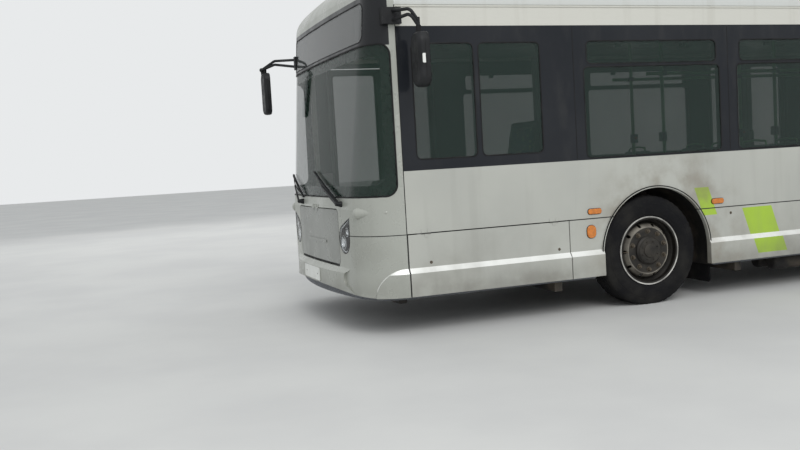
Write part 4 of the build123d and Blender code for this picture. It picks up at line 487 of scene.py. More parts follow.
def rubber():
    shade = Shade("tyre_rubber", rgb(26, 26, 28), 0.85, Specular_IOR_Level=0.15)
    shade.mottle(rgb(22, 22, 24), rgb(42, 41, 39), 5, 7, 0.38, 0.78)
    shade.over(shade.patch(60, 4, 0.58, 0.78, 0, 0.25), rgb(70, 66, 60))
    return shade.grain(170, 4, 0.0008, 0.5)


def wheel_steel():
    """Dark steel with brake dust, a painted highlight on the cone round the disc, painted shade in the
    gutter, and a painted highlight with rubbed metal on the rim edge.
    """
    shade = Shade("wheel_steel", rgb(58, 54, 48), 0.5, 0.35)
    shade.mottle(rgb(34, 32, 29), rgb(62, 58, 52), 9, 7, 0.3, 0.7)
    shade.over(shade.patch(40, 5, 0.55, 0.75, 0, 0.7), rgb(38, 31, 25))
    nearer = shade.calc("MINIMUM", shade.off("X", FRONT_AXLE_X), shade.off("X", REAR_AXLE_X))
    reach = shade.far(nearer, shade.axis("Z", AXLE_Z))
    # Painted highlight: a pale band in patches on the cone round the disc.
    cone = shade.times(shade.span(reach, 0.194, 0.204), shade.span(reach, 0.24, 0.222))
    shade.over(shade.times(cone, shade.patch(4.5, 7, 0.3, 0.62, 0.25, 0.95)), rgb(168, 162, 150))
    # Painted shade: a dark band in the gutter between the cone and the rim edge.
    gutter = shade.times(shade.span(reach, 0.238, 0.248), shade.span(reach, 0.288, 0.284), 0.75)
    shade.over(gutter, rgb(26, 24, 21))
    # Painted highlight with rubbed metal: a bright band on the rim edge.
    edge = shade.times(shade.span(reach, 0.286, 0.29), shade.patch(6, 6, 0.3, 0.6, 0.35, 1))
    shade.over(edge, rgb(206, 204, 198))
    return shade.grain(120, 5, 0.001, 0.5)


def underbody():
    shade = Shade("underbody_coat", rgb(34, 33, 32), 0.75)
    shade.mottle(rgb(30, 29, 28), rgb(82, 74, 64), 4, 8, 0.38, 0.72)
    return shade.grain(55, 6, 0.002, 0.6)


def floor_cover():
    shade = Shade("floor_cover", rgb(96, 99, 104), 0.6)
    shade.mottle(rgb(98, 101, 107), rgb(82, 84, 88), 2, 5, 0.35, 0.7)
    shade.over(shade.patch(700, 1, 0.62, 0.66, 0, 0.8), rgb(160, 165, 170))
    shade.over(shade.patch(520, 1, 0.6, 0.66, 0, 0.8), rgb(44, 50, 66))
    return shade.grain(400, 2, 0.0004, 0.5)


def fabric():
    """Woven seat cloth: blue-green ground with small lighter dashes and a weave in its bump."""
    shade = Shade("seat_fabric", rgb(46, 78, 92), 0.9, Sheen_Weight=0.4, Sheen_Roughness=0.5)
    inputs = {"Vector": shade.place, "Scale": 420, "Distortion": 1.2}
    weave = shade.put("TexWave", inputs, bands_direction="DIAGONAL").outputs["Fac"]
    cells = shade.put("TexVoronoi", {"Vector": shade.place, "Scale": 26, "Randomness": 0.85})
    dots = shade.span(cells.outputs["Distance"], 0.34, 0.26)
    shade.mottle(rgb(38, 66, 82), rgb(52, 86, 98), 3, 4, 0.3, 0.7)
    shade.over(shade.times(dots, 0.8), rgb(132, 160, 92))
    shade.over(shade.span(weave, 0.55, 0.85, 0, 0.3), rgb(24, 44, 56))
    return shade.bump(weave, 0.001, 0.6)


def display():
    """Unlit destination display: a fine grid of amber dots on black."""
    shade = Shade("sign_matrix", rgb(26, 24, 22), 0.5)
    pitch = 0.0095
    across, up = (shade.calc("PINGPONG", shade.axis(name), pitch) for name in "YZ")
    dot = shade.times(*(shade.span(place, 0.55 * pitch, 0.8 * pitch) for place in (across, up)))
    shade.over(dot, rgb(168, 92, 34))
    return shade.bump(dot, 0.0006, 0.5)


FINISH = {
    "silver": silver_paint(),
    "mask": mask_paint("mask_paint", rgb(176, 178, 170), rgb(166, 168, 160)),
    # The hatch: the mask's paint in darker tones, painted shade and painted reflection of the dark ground.
    "hatch": mask_paint("hatch_paint_shaded", rgb(148, 150, 145), rgb(136, 138, 133)),
    "roof": roof_paint(),
    "band": black_band(),
    "side_glass": glass("side_glass", rgb(30, 48, 42), 0.54),
    "front_glass": glass("front_glass", rgb(44, 66, 56), 0.3),
    "sign_glass": glass("sign_cover", rgb(92, 95, 94), 0.62, 1.8),
    "clear": bare("clear_cover", rgb(240, 243, 243), 0.02, 0.0, (30, 4, 0.5, 0.9, 0, 0.08),
                  (6, 1, 0.0003, 0.1), Transmission_Weight=1.0, IOR=1.3),
    "black": plastic("black_plastic", rgb(22, 23, 25), rgb(38, 39, 41)),
    "gloss_black": plastic("gloss_black", rgb(16, 17, 19), rgb(26, 27, 29), 0.25, 300, 0.0001),
    "seal": plastic("seal_rubber", rgb(15, 15, 16), rgb(28, 28, 29), 0.7),
    "cab_grey": plastic("cab_moulding", rgb(66, 70, 74), rgb(84, 88, 92), 0.6),
    "moulding": plastic("seat_moulding", rgb(58, 66, 74), rgb(72, 80, 88), 0.5),
    "lining": plastic("wall_lining", rgb(160, 164, 162), rgb(176, 180, 178)),
    "white": plastic("white_trim", rgb(232, 233, 228), rgb(216, 217, 210), 0.4),
    "red": lens("red_lens", rgb(176, 26, 24)),
    "amber": lens("amber_lens", rgb(250, 146, 44)),
    "clear_lens": lens("white_lens", rgb(226, 228, 226)),
    "door": painted_metal("door_frame", rgb(44, 46, 50), rgb(60, 61, 63), 0.35),
    "steel": underbody(),
    "bolt": painted_metal("bolt_steel", rgb(104, 96, 84), rgb(66, 54, 44), 0.5, 0.7, 60),
    "rail": painted_metal("rail_coat", rgb(86, 156, 84), rgb(112, 170, 96), 0.35, 0.0),
    "rubber": rubber(),
    "wheel": wheel_steel(),
    "floor": floor_cover(),
    "fabric": fabric(),
    "chrome": bare("bright_reflector", rgb(214, 216, 218), 0.12, 0.95, (12, 4, 0.3, 0.7, 0.06, 0.2),
                   (60, 2, 0.0003, 0.3)),
    "mirror": bare("mirror_face", rgb(206, 212, 216), 0.04, 1.0, (6, 4, 0.4, 0.8, 0.02, 0.09),
                   (2, 1, 0.0004, 0.1)),
    "display": display(),
}

NODE_FINISH = {  # patterns of node names
    "silver": "side_panel_* service_flap rear_wall rear_bumper engine_lid",
    "mask": "front_mask front_bumper",
    "hatch": "front_hatch",
    "roof": "roof roof_units",
    "band": "window_frame_*",
    "side_glass": "window_glass_* rear_glass *_door_*_glass",
    "front_glass": "windscreen",
    "sign_glass": "sign_glass",
    "clear": "headlamps",
    "black": "wipers mirror_* dashboard steering_wheel",
    "cab_grey": "driver_cabin",
    "display": "sign_display",
    "red": "tail_lamps",
    "amber": "side_lamps",
    "door": "*_door_fore *_door_aft",
    "steel": "wheel_housings chassis front_axle rear_axle engine under_tanks knuckle_*",
    "floor": "floor",
    "moulding": "seats driver_seat",
    "rail": "handrails",
    "rubber": "front_tyre_* rear_tyres_*",
    "wheel": "front_rim_* rear_rims_*",
}

for finish_name, patterns in NODE_FINISH.items():
    for pattern in patterns.split():
        for node_name in fnmatch.filter(frame["nodes"], pattern):
            slots = frame["nodes"][node_name].data.materials
            slots.clear()
            slots.append(FINISH[finish_name])


def mm(*values):
    """Pairs of millimetres as points in metres."""
    return [(values[index] / 1000, values[index + 1] / 1000) for index in range(0, len(values), 2)]


def strip(foot, top, low, high):
    """Section of a flat strip as (across, outward): half width at foot and top, and their heights."""
    return [(-foot, low), (-top, high), (top, high), (foot, low)]


def polar(u, v, radius, angle):
    return (u + radius * math.cos(angle), v + radius * math.sin(angle))


def between(start, end, share):
    return (start[0] + (end[0] - start[0]) * share, start[1] + (end[1] - start[1]) * share)


class Piece:
    """A piece being built: shapes go into one mesh, which make() dresses and hands to its body."""

    def __init__(self):
        self.shape = bmesh.new()

    def grid(self, rows, round_rows=False, round_columns=True):
        """Faces between rows of points. round_rows joins the last row to the first."""
        points = [[self.shape.verts.new(point) for point in row] for row in rows]
        row_count = len(points) if round_rows else len(points) - 1
        column_count = len(points[0]) if round_columns else len(points[0]) - 1
        for i in range(row_count):
            near, far = points[i], points[(i + 1) % len(points)]
            for j in range(column_count):
                k = (j + 1) % len(near)
                self.shape.faces.new((near[j], near[k], far[k], far[j]))
        return points

    def cap(self, points):
        self.shape.faces.new(points)

    def plate(self, outline, along):
        """A closed outline of points, carried along a direction."""
        rows = self.grid([outline, [Vector(point) + Vector(along) for point in outline]])
        self.cap(list(reversed(rows[0])))
        self.cap(rows[1])
        return self

    def box(self, low, high):
        x0, y0, z0 = low
        x1, y1, z1 = high
        return self.plate([(x0, y0, z0), (x1, y0, z0), (x1, y1, z0), (x0, y1, z0)], (0, 0, z1 - z0))

    def turned(self, profile, centre, axis, steps=40):
        """A profile of (radius, distance along the axis), turned about the axis."""
        frame = Vector(axis).normalized().to_track_quat("Z", "Y").to_matrix()
        angles = [2 * math.pi * index / steps for index in range(steps)]
        self.grid([[Vector(centre) + frame @ Vector((*polar(0, 0, radius, angle), along)) for angle in angles]
                   for radius, along in profile])
        return self

    def ribbon(self, path, outward, profile, closed=True):
        """A profile of (across, outward) swept along a path. outward is one direction, or one a point."""
        rows = []
        count = len(path)
        for index, point in enumerate(path):
            before = path[index - 1] if closed or index else point
            after = path[(index + 1) % count] if closed or index < count - 1 else point
            ahead = (Vector(after) - Vector(before)).normalized()
            up = Vector(outward[index] if isinstance(outward, list) else outward).normalized()
            across = ahead.cross(up).normalized()
            rows.append([Vector(point) + across * u + up * v for u, v in profile])
        made = self.grid(rows, round_rows=closed)
        if not closed:
            self.cap(made[0])
            self.cap(list(reversed(made[-1])))
        return self

    def trace(self, ring, profile, closed=True):
        """A ribbon along points that each bring their outward direction."""
        return self.ribbon([point for point, _ in ring], [outward for _, outward in ring], profile, closed)

    def tube(self, path, radius, steps=10):
        """A round bar along an open path."""
        ring = [polar(0, 0, radius, 2 * math.pi * index / steps) for index in range(steps)]
        ahead = (Vector(path[1]) - Vector(path[0])).normalized()
        return self.ribbon(path, (0, 0, 1) if abs(ahead.z) < 0.9 else (1, 0, 0), ring, False)

    def soften(self, width):
        """Rounds every sharp edge."""
        edges = [edge for edge in self.shape.edges if edge.is_manifold and edge.calc_face_angle(0.0) > 0.6]
        bmesh.ops.bevel(self.shape, geom=edges, offset=width, segments=2, affect="EDGES", clamp_overlap=True)
        return self

    def make(self, name, finish, body="body", sharp=38):
        bmesh.ops.remove_doubles(self.shape, verts=self.shape.verts, dist=1e-6)
        bmesh.ops.recalc_face_normals(self.shape, faces=self.shape.faces)
        mesh = bpy.data.meshes.new(name)
        self.shape.to_mesh(mesh)
        self.shape.free()
        mesh.polygons.foreach_set("use_smooth", [True] * len(mesh.polygons))
        mesh.set_sharp_from_angle(angle=math.radians(sharp))
        mesh.materials.append(FINISH[finish])
        piece = bpy.data.objects.new(name, mesh)
        bpy.context.scene.collection.objects.link(piece)
        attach(piece, body)
        return piece


def rounded(u0, u1, v0, v1, radius, step=0.08):
    """Rectangle with round corners, its long edges divided so that it can follow a curved skin."""
    outline = []
    corners = ((u1 - radius, v0 + radius), (u1 - radius, v1 - radius), (u0 + radius, v1 - radius),
               (u0 + radius, v0 + radius))
    for index, (u, v) in enumerate(corners):
        start = 90 * index - 90
        outline += [polar(u, v, radius, math.radians(start + 15 * turn)) for turn in range(7)]
        here = outline[-1]
        end = polar(*corners[(index + 1) % 4], radius, math.radians(start + 90))
        parts = max(1, round(math.dist(here, end) / step))
        outline += [between(here, end, part / parts) for part in range(1, parts)]
    return outline


def framed(width, height, inset, radius):
    """A rounded outline about the origin, inset from the given size."""
    return rounded(inset - width / 2, width / 2 - inset, inset - height / 2, height / 2 - inset, radius)


def inset_rounded(u0, u1, v0, v1, radius, insets):
    """One outline drawn in by each inset, point for point."""
    u_mid, v_mid = (u0 + u1) / 2, (v0 + v1) / 2
    u_half, v_half = (u1 - u0) / 2, (v1 - v0) / 2
    outline = rounded(u0, u1, v0, v1, radius)
    rings = []
    for inset in insets:
        u_share, v_share = 1 - inset / u_half, 1 - inset / v_half
        rings.append([(u_mid + (u - u_mid) * u_share, v_mid + (v - v_mid) * v_share) for u, v in outline])
    return rings


def nose_arcs(z):
    """The nose's plan at a height: face, corner arc's centre and radius, wide arc's radius, their join."""
    above = max(0.0, z - KNEE_Z)
    corner = CORNER_RADIUS + above / (LOFT_TOP_Z - KNEE_Z) * (BROW_CORNER_RADIUS - CORNER_RADIUS)
    face_x = FACE_X - FACE_LEAN * above
    centre_x = FACE_X - CORNER_RADIUS - CORNER_BLEND
    centre_y = HALF_W - corner
    reach = face_x - centre_x
    wide = (centre_y**2 + reach**2 - corner**2) / (2 * (reach - corner))
    return face_x, centre_x, centre_y, corner, wide, math.atan2(centre_y, centre_x - face_x + wide)


def nose_point(distance, z, out=0.0):
    """Point and outward direction on the nose, at a distance along the skin from the middle."""
    face_x, centre_x, centre_y, corner, wide, join = nose_arcs(z)
    side = 1 if distance >= 0 else -1
    along = abs(distance)
    if along <= wide * join:
        turn = along / wide
        x, y = polar(face_x - wide, 0, wide, turn)
    else:
        turn = join + (along - wide * join) / corner
        x, y = polar(centre_x, centre_y, corner, turn)
    outward = Vector((math.cos(turn), side * math.sin(turn), FACE_LEAN if z > KNEE_Z else 0.0)).normalized()
    return Vector((x, side * y, z)) + outward * out, outward


def nose_reach(z, edge_x):
    """Distance along the skin from the middle to where the nose has fallen back to edge_x."""
    _, centre_x, _, corner, wide, join = nose_arcs(z)
    turn = math.acos(max(-1.0, min(1.0, (edge_x - centre_x) / corner)))
    return wide * join + corner * (turn - join)


def nose_place(y, z, out=0.0):
    """Point and outward direction on the nose at a place given across the bus."""
    _, _, centre_y, corner, wide, join = nose_arcs(z)
    if abs(y) <= centre_y:
        return nose_point(math.copysign(wide * math.asin(min(1.0, abs(y) / wide)), y), z, out)
    turn = math.asin(min(1.0, (abs(y) - centre_y) / corner))
    return nose_point(math.copysign(wide * join + corner * (turn - join), y), z, out)


def screen_rings(insets, out):
    """Points and outward directions of the windscreen's outline on the nose, drawn in by each inset."""
    middle = nose_reach((SCREEN_LOW_Z + SCREEN_TOP_Z) / 2, SCREEN_EDGE_X)
    rings = inset_rounded(-middle, middle, SCREEN_LOW_Z, SCREEN_TOP_Z, SCREEN_CORNER, insets)
    return [[nose_point(u * nose_reach(z, SCREEN_EDGE_X) / middle, z, out) for u, z in ring]
            for ring in rings]


def windscreen_pieces():
    """Rubber seals of windscreen and sign glass, and the black printed border behind the windscreen."""
    seal = Piece().trace(screen_rings((0.0,), 0.0)[0], mm(-7, -4, -6, 2.2, 0, 3.5, 6, 2.2, 7, -4))
    seal.make("windscreen_seal", "seal")
    border = Piece()
    border.grid([[point for point, _ in ring] for ring in screen_rings((0.004, 0.03, 0.06, 0.09), -0.0125)])
    border.make("windscreen_border", "gloss_black")
    outline = rounded(-SIGN_HALF_W, SIGN_HALF_W, SIGN_LOW_Z, SIGN_TOP_Z, SIGN_CORNER)
    seal = Piece().trace([nose_place(y, z) for y, z in outline], strip(0.005, 0.004, -0.004, 0.0015))
    seal.make("sign_seal", "seal")


def wiper_pieces():
    """Two wipers: cap on the post, arm with its spring cover, bowed blade, rubber lip and bridge."""
    both = Piece()
    even = [-1 + index / 8 for index in range(17)]
    for pivot_y, tip_y, tip_z, blade in WIPERS:
        root, outward = nose_place(pivot_y, WIPER_PIVOT_Z)
        both.turned(mm(0, 56, 10, 56, 17, 50, 19, 30, 24, 12, 26, -4), root, outward, 20)
        start = root + outward * WIPER_OUT
        run = nose_place(tip_y, tip_z, WIPER_OUT)[0] - start
        arm = [start + run * share for share in (0, 0.25, 0.5, 0.75, 1)]
        both.ribbon(arm[:3], outward, strip(0.012, 0.011, -0.006, 0.006), False)
        both.ribbon(arm[2:], outward, strip(0.008, 0.007, -0.004, 0.004), False)
        slope_y, slope_z = (blade / 2 * slope for slope in BLADE_SLOPE)
        for stations, section in (
            ([(share, 0.02) for share in even], strip(0.005, 0.006, -0.002, 0.004)),
            ([(share, 0.01) for share in even], strip(0.0015, 0.003, -0.008, 0.008)),
            (mm(-550, 26, -300, 34, 0, 40, 300, 34, 550, 26), strip(0.005, 0.004, -0.003, 0.003)),
        ):
            path = [nose_place(tip_y + slope_y * share, tip_z + slope_z * share, out)[0]
                    for share, out in stations]
            both.ribbon(path, outward, section, False)
    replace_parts(both.make("wiper_pair", "black"), "wipers")


def lamp_outline(grow):
    """Teardrop of the headlamp as (y, z): a round lower end and a point up and outboard."""
    lamp_y, lamp_z = LAMP_CENTRE
    tip_angle = math.atan2(LAMP_TIP[1] - lamp_z, LAMP_TIP[0] - lamp_y)
    spread = math.acos(LAMP_RADIUS / math.dist(LAMP_CENTRE, LAMP_TIP))
    angles = [tip_angle + spread + (2 * math.pi - 2 * spread) * index / 28 for index in range(29)]
    outline = [polar(lamp_y, lamp_z, LAMP_RADIUS + grow, angle) for angle in angles]
    tip = polar(*LAMP_TIP, grow, tip_angle)
    return (outline + [between(outline[-1], tip, share) for share in (0.33, 0.66, 1)]
            + [between(tip, outline[0], share) for share in (0.33, 0.66)])


def headlamp_pieces():
    """Behind each clear cover: three reflectors with bulbs and rings, a bright trim and a dark shell."""
    lamp_y, lamp_z = LAMP_CENTRE
    bowl = mm(1000, 0, 860, -12, 550, -24, 220, -29, 200, -16, 120, -10, 0, -9)
    bezel = mm(1040, -6, 1100, 1, 1020, 3, 980, -3)
    shell_centre = (lamp_y + 0.02, lamp_z + 0.02)
    for side, name in SIDES:
        bowls, rings, shell = Piece(), Piece(), Piece()
        for dy, dz, radius in ((-0.03, -0.028, 0.062), (0.05, 0.058, 0.042), (0.098, 0.128, 0.02)):
            centre = nose_place(side * (lamp_y + dy), lamp_z + dz, -0.012)[0]
            for piece, profile in ((bowls, bowl), (rings, bezel)):
                piece.turned([(radius * share, along) for share, along in profile], centre, (1, 0, 0), 32)
        bowls.make("headlamp_bowls_" + name, "chrome")
        rings.make("headlamp_rings_" + name, "gloss_black")
        for label, finish, grow, profile in (
            ("seal", "seal", 0.004, strip(0.004, 0.003, -0.003, 0.002)),
            ("trim", "chrome", -0.007, mm(-5, -14, -6, -9.5, 0, -8.5, 5, -9.5, 5, -14)),
        ):
            ring = [nose_place(side * y, z) for y, z in lamp_outline(grow)]
            Piece().trace(ring, profile).make("headlamp_%s_%s" % (label, name), finish)
        rows = [[between(shell_centre, spot, share) for spot in lamp_outline(0.004)]
                for share in (0.97, 0.6, 0.3, 0.02)]
        shell.grid([[nose_place(side * y, z, -0.042)[0] for y, z in row] for row in rows])
        shell.make("headlamp_shell_" + name, "black")


def plate_piece(name, centre, facing, width, height):
    """A blank number plate: pressed rim, flat field and two screws."""
    x, y, z = centre
    plate, screws = Piece(), Piece()
    rings = inset_rounded(-width / 2, width / 2, -height / 2, height / 2, 0.012, (0, 0, 0.006, 0.01, 0.014))
    relief = zip(rings, (0, 0.0009, 0.0015, 0.001, 0.0008))
    plate.cap(plate.grid([[(x + facing * out, y + u, z + v) for u, v in ring] for ring, out in relief])[-1])
    plate.make(name, "white")
    for dy in (-0.36 * width, 0.36 * width):
        screws.turned(mm(0, 2.4, 5, 2.2, 7, 1.2, 7, 0), (x, y + dy, z), (facing, 0, 0), 12)
    screws.make(name + "_screws", "bolt")


def mirror_pieces():
    """Mirror glasses in their rims, seams round the heads, clamps on the arms, and the white reflector."""
    for name, ((x, y, z), (depth, width, height)) in MIRRORS.items():
        rear_x = x - depth / 2
        face = Piece()
        outline = framed(width, height, 0.014, 0.05)
        rings = [(share, rear_x - 0.002 - 0.003 * (1 - share**2)) for share in (1, 0.7, 0.35, 0.05)]
        face.grid([[(ring_x, y + u * share, z + v * share) for u, v in outline] for share, ring_x in rings])
        face.make("mirror_glass_" + name, "mirror")
        for label, finish, plane_x, inset, radius, profile in (
            ("rim", "gloss_black", rear_x, 0.008, 0.055, mm(-6, -2, -5, 6, 4, 6, 6, -2)),
            ("seam", "seal", x - depth * 0.12, 0.0015, width * 0.4, mm(-2, -3, -2, 3, 1, 3, 1, -3)),
        ):
            ring = [(plane_x, y + u, z + v) for u, v in framed(width, height, inset, radius)]
            Piece().ribbon(ring, (-1, 0, 0), profile).make("mirror_%s_%s" % (label, name), finish)
        clamp = Piece().turned(mm(13, -30, 19, -28, 21, 0, 19, 28, 13, 30), (x, y, z + height / 2 + 0.02),
                               (0, 0, 1), 20)
        clamp.make("mirror_clamp_" + name, "seal")
    (x, y, z), (_, width, _) = MIRRORS["left"]
    outline = rounded(x - 0.012, x + 0.018, z - 0.035, z + 0.035, 0.008)
    reflector = Piece().plate([(u, y + width / 2 - 0.004, v) for u, v in outline], (0, 0.0045, 0))
    reflector.soften(0.001).make("mirror_reflector", "white")


def window_table(side):
    """Panes of one side as x0, x1, z0, z1, with True for a hopper."""
    panes = []
    for index in range(BAY_COUNT):
        x = BAY_FIRST_X - index * BAY_PITCH
        if not at_door(side, x, BAY_PITCH / 2):
            panes.append((x - PANE_WIDTH / 2, x + PANE_WIDTH / 2, PANE_LOW_Z, PANE_TOP_Z, False))
            panes.append((x - HOPPER_WIDTH / 2, x + HOPPER_WIDTH / 2, HOPPER_LOW_Z, HOPPER_TOP_Z, True))
    if side > 0:
        for front, rear in CAB_PANES:
            panes.append((FRONT_AXLE_X + rear, FRONT_AXLE_X + front, CAB_PANE_LOW_Z, CAB_PANE_TOP_Z, False))
    return panes


GASKET = mm(-6, -4, -5, 1.2, 0, 2.4, 5, 1.2, 6, -4)
INNER_RAIL = strip(0.009, 0.008, 0, 0.012)
JOINT = strip(0.004, 0.003, -0.003, 0.0008)


def window_pieces():
    """Gaskets round every pane, the hoppers' inner rails and catches, and the joints between bays."""
    for side, name in SIDES:
        gaskets, rails, catches, joints = Piece(), Piece(), Piece(), Piece()
        inner_y = side * (HALF_W - 0.0095)
        for x0, x1, z0, z1, hopper in window_table(side):
            outline = rounded(x0, x1, z0, z1, PANE_CORNER, 0.4)
            gaskets.ribbon([(x, side * HALF_W, z) for x, z in outline], (0, side, 0), GASKET)
            if hopper:
                inner = rounded(x0 + 0.012, x1 - 0.012, z0 + 0.012, z1 - 0.012, PANE_CORNER - 0.012, 0.4)
                rails.ribbon([(x, inner_y, z) for x, z in inner], (0, -side, 0), INNER_RAIL)
                for x in (x0 + (x1 - x0) / 4, x1 - (x1 - x0) / 4):
                    catches.box((x - 0.022, inner_y - side * 0.034, z1 - 0.052),
                                (x + 0.022, inner_y, z1 - 0.022))
        for index in range(BAY_COUNT + 1):
            x = BAY_FIRST_X + BAY_PITCH / 2 - index * BAY_PITCH
            if not at_door(side, x, DOOR_WIDTH / 2 + 0.02):
                path = [(x, side * HALF_W, z) for z in (WAIST_Z + 0.004, CANTRAIL_Z - 0.004)]
                joints.ribbon(path, (0, side, 0), JOINT, False)
        gaskets.make("pane_gaskets_" + name, "seal")
        rails.make("hopper_rails_" + name, "door")
        catches.soften(0.004).make("hopper_catches_" + name, "black")
        joints.make("band_joints_" + name, "seal")


def seam_pieces():
    """Dark joints of the front mask: along the bumper, down the sides, and the slot under the hatch."""
    seams = Piece()
    reach = nose_reach(FLAP_TOP_Z, MASK_SEAM_X + 0.004)
    start = LAMP_TIP[0] - 0.007
    skirt_y = HALF_W + SKIRT_STEP
    down = ((skirt_y, SKIRT_Z + 0.003), (skirt_y, BEVEL_LOW_Z), (HALF_W, BEVEL_TOP_Z), (HALF_W, WAIST_Z),
            (HALF_W, CANTRAIL_Z), (HALF_W, GROOVE_Z))
    for side in (1, -1):
        ring = [nose_point(side * (start + (reach - start) * index / 24), FLAP_TOP_Z) for index in range(25)]
        seams.trace(ring, strip(0.0035, 0.003, -0.003, 0.0008), False)
        seams.ribbon([(MASK_SEAM_X, side * y, z) for y, z in down], (0, side, 0), JOINT, False)
    slot = [nose_place(HATCH_SLOT_HALF_W * (index / 20 - 1), HATCH_SLOT_Z) for index in range(41)]
    seams.trace(slot, strip(0.009, 0.009, -0.012, -0.003), False)
    seams.make("mask_seams", "seal")


def side_pieces():
    """Rubber lips of the arches, mud flaps, locks of the flaps, and bezels of the side lamps."""
    lips, flaps, locks, service_locks, bezels = Piece(), Piece(), Piece(), Piece(), Piece()
    lock = mm(0, 1.2, 4, 1.2, 5, 2.6, 11.5, 2.2, 13, -1)
    for side in (1, -1):
        for arch_x in (FRONT_ARCH_X, REAR_AXLE_X):
            arch = [polar(arch_x, AXLE_Z, ARCH_LIP_RADIUS, math.pi * index / 48) for index in range(49)]
            lips.ribbon([(x, side * (HALF_W + 0.0105), z) for x, z in arch], (0, side, 0),
                        mm(-5, -4, -4, 3, 3, 3.5, 5, -4), False)
            outline = mm(780, 135, 800, 120, 1150, 120, 1170, 135, 1170, 292, 780, 292)
            flaps.plate([(arch_x - MUD_FLAP_BACK, side * y, z) for y, z in outline], (-0.007, 0, 0))
        for x in (SKIRT_JOINTS_X[0] - 0.12, SKIRT_JOINTS_X[0] - 1.42, SKIRT_JOINTS_X[2] + 0.12,
                  SKIRT_JOINTS_X[3] + 0.12, FRONT_AXLE_X - 0.85, FRONT_AXLE_X - 2.3):
            if not at_door(side, x, DOOR_WIDTH / 2 + 0.05):
                locks.turned(lock, (x, side * HALF_W, 0.735), (0, side, 0), 20)
        for x, z, length, height in SIDE_LAMPS:
            if not at_door(side, x, DOOR_WIDTH / 2 + length):
                outline = framed(length, height, 0, min(length, height) * 0.45)
                bezels.ribbon([(x + u, side * HALF_W, z + v) for u, v in outline], (0, side, 0),
                              mm(-4, -1, -3, 4.5, 3, 4.5, 5, -1))
    for x in (FLAP_REAR_X + 0.1, FLAP_REAR_X + 1.25):
        service_locks.turned(lock, (x, HALF_W, 0.56), (0, 1, 0), 20)
    lips.make("arch_lips", "seal")
    flaps.soften(0.0015).make("mud_flaps", "rubber")
    locks.make("flap_locks", "bolt")
    service_locks.make("service_flap_locks", "bolt", "service_flap_body")
    bezels.make("side_lamp_bezels", "seal")


TYRE_ROWS = (  # share of the wall's height, share of the half width
    (0, 0.78), (0.05, 0.785), (0.08, 0.8), (0.1, 0.86), (0.13, 0.885), (0.15, 0.9), (0.16, 0.915),
    (0.18, 0.915), (0.22, 0.945), (0.3, 0.982), (0.38, 0.998), (0.46, 1), (0.54, 0.994), (0.6, 0.983),
    (0.61, 0.99), (0.63, 0.985), (0.64, 0.972), (0.74, 0.945), (0.8, 0.925), (0.86, 0.9), (0.92, 0.86),
    (0.97, 0.8), (0.992, 0.74), (1, 0.66), (1, 0.52), (0.945, 0.51), (0.945, 0.44), (1, 0.43), (1, 0.2),
    (0.945, 0.19), (0.945, 0.12), (1, 0.11),
)
TREAD_STEPS = 144
TREAD_NOTCH = 0.005


def tyre_piece(name, body, axle_x, side, face_y):
    """Tyre with a ribbed tread, notched shoulders, and rings on its walls."""
    half = TYRE_WIDTH / 2
    outer = [(share, half - width * half) for share, width in TYRE_ROWS]
    inner = [(share, TYRE_WIDTH - inward) for share, inward in reversed(outer)]
    rows = []
    for share, inward in outer + inner:
        shoulder = share > 0.95 and (inward < 0.24 * TYRE_WIDTH or inward > 0.76 * TYRE_WIDTH)
        row = []
        for index in range(TREAD_STEPS):
            radius = TYRE_SEAT_RADIUS + share * (TYRE_RADIUS - TYRE_SEAT_RADIUS)
            if shoulder and index % 3 == 0:
                radius -= TREAD_NOTCH
            x, z = polar(axle_x, AXLE_Z, radius, 2 * math.pi * index / TREAD_STEPS)
            row.append((x, side * (face_y - inward), z))
        rows.append(row)
    tyre = Piece()
    tyre.grid(rows, round_rows=True)
    return tyre.make(name, "rubber", body, sharp=30)


def nut_ring(piece, axle_x, side, face_y, radius, count, size, length):
    """Hexagon nuts on their washers, with the stud's end standing out."""
    washer = [(1.35 * size, 0), (1.35 * size, 0.003), (1.1 * size, 0.004)]
    nut = [(size, 0.003), (size, 0.85 * length), (0.82 * size, length), (0.55 * size, length)]
    stud = [(u * size, v * length) for u, v in ((0.55, 0.8), (0.55, 1.4), (0.42, 1.5), (0, 1.5))]
    for index in range(count):
        x, z = polar(axle_x, AXLE_Z, radius, 2 * math.pi * (index + 0.5) / count)
        for profile, steps in ((washer, 16), (nut, 6), (stud, 12)):
            piece.turned(profile, (x, side * face_y, z), (0, side, 0), steps)


HUB_COVER = mm(106, -2, 106, 3, 94, 5, 64, 5, 60, 12, 55, 14, 20, 15, 0, 15)
HUB_FLANGE = mm(106, -2, 106, 4, 100, 6, 66, 8, 58, 20, 0, 22)
WHEEL_ENDS = (  # axle, depth of the disc, hub from the disc, its profile, bolts on it, depth of the valve
    ("front", FRONT_AXLE_X, 0.04, 0.025, "hub_cover", HUB_COVER, (0.005, 0.082, 8, 0.006, 0.006), 0.075),
    ("rear", REAR_AXLE_X, 0.15, 0.04, "hub_flange", HUB_FLANGE, (0.006, 0.085, 10, 0.0075, 0.009), 0.085),
)


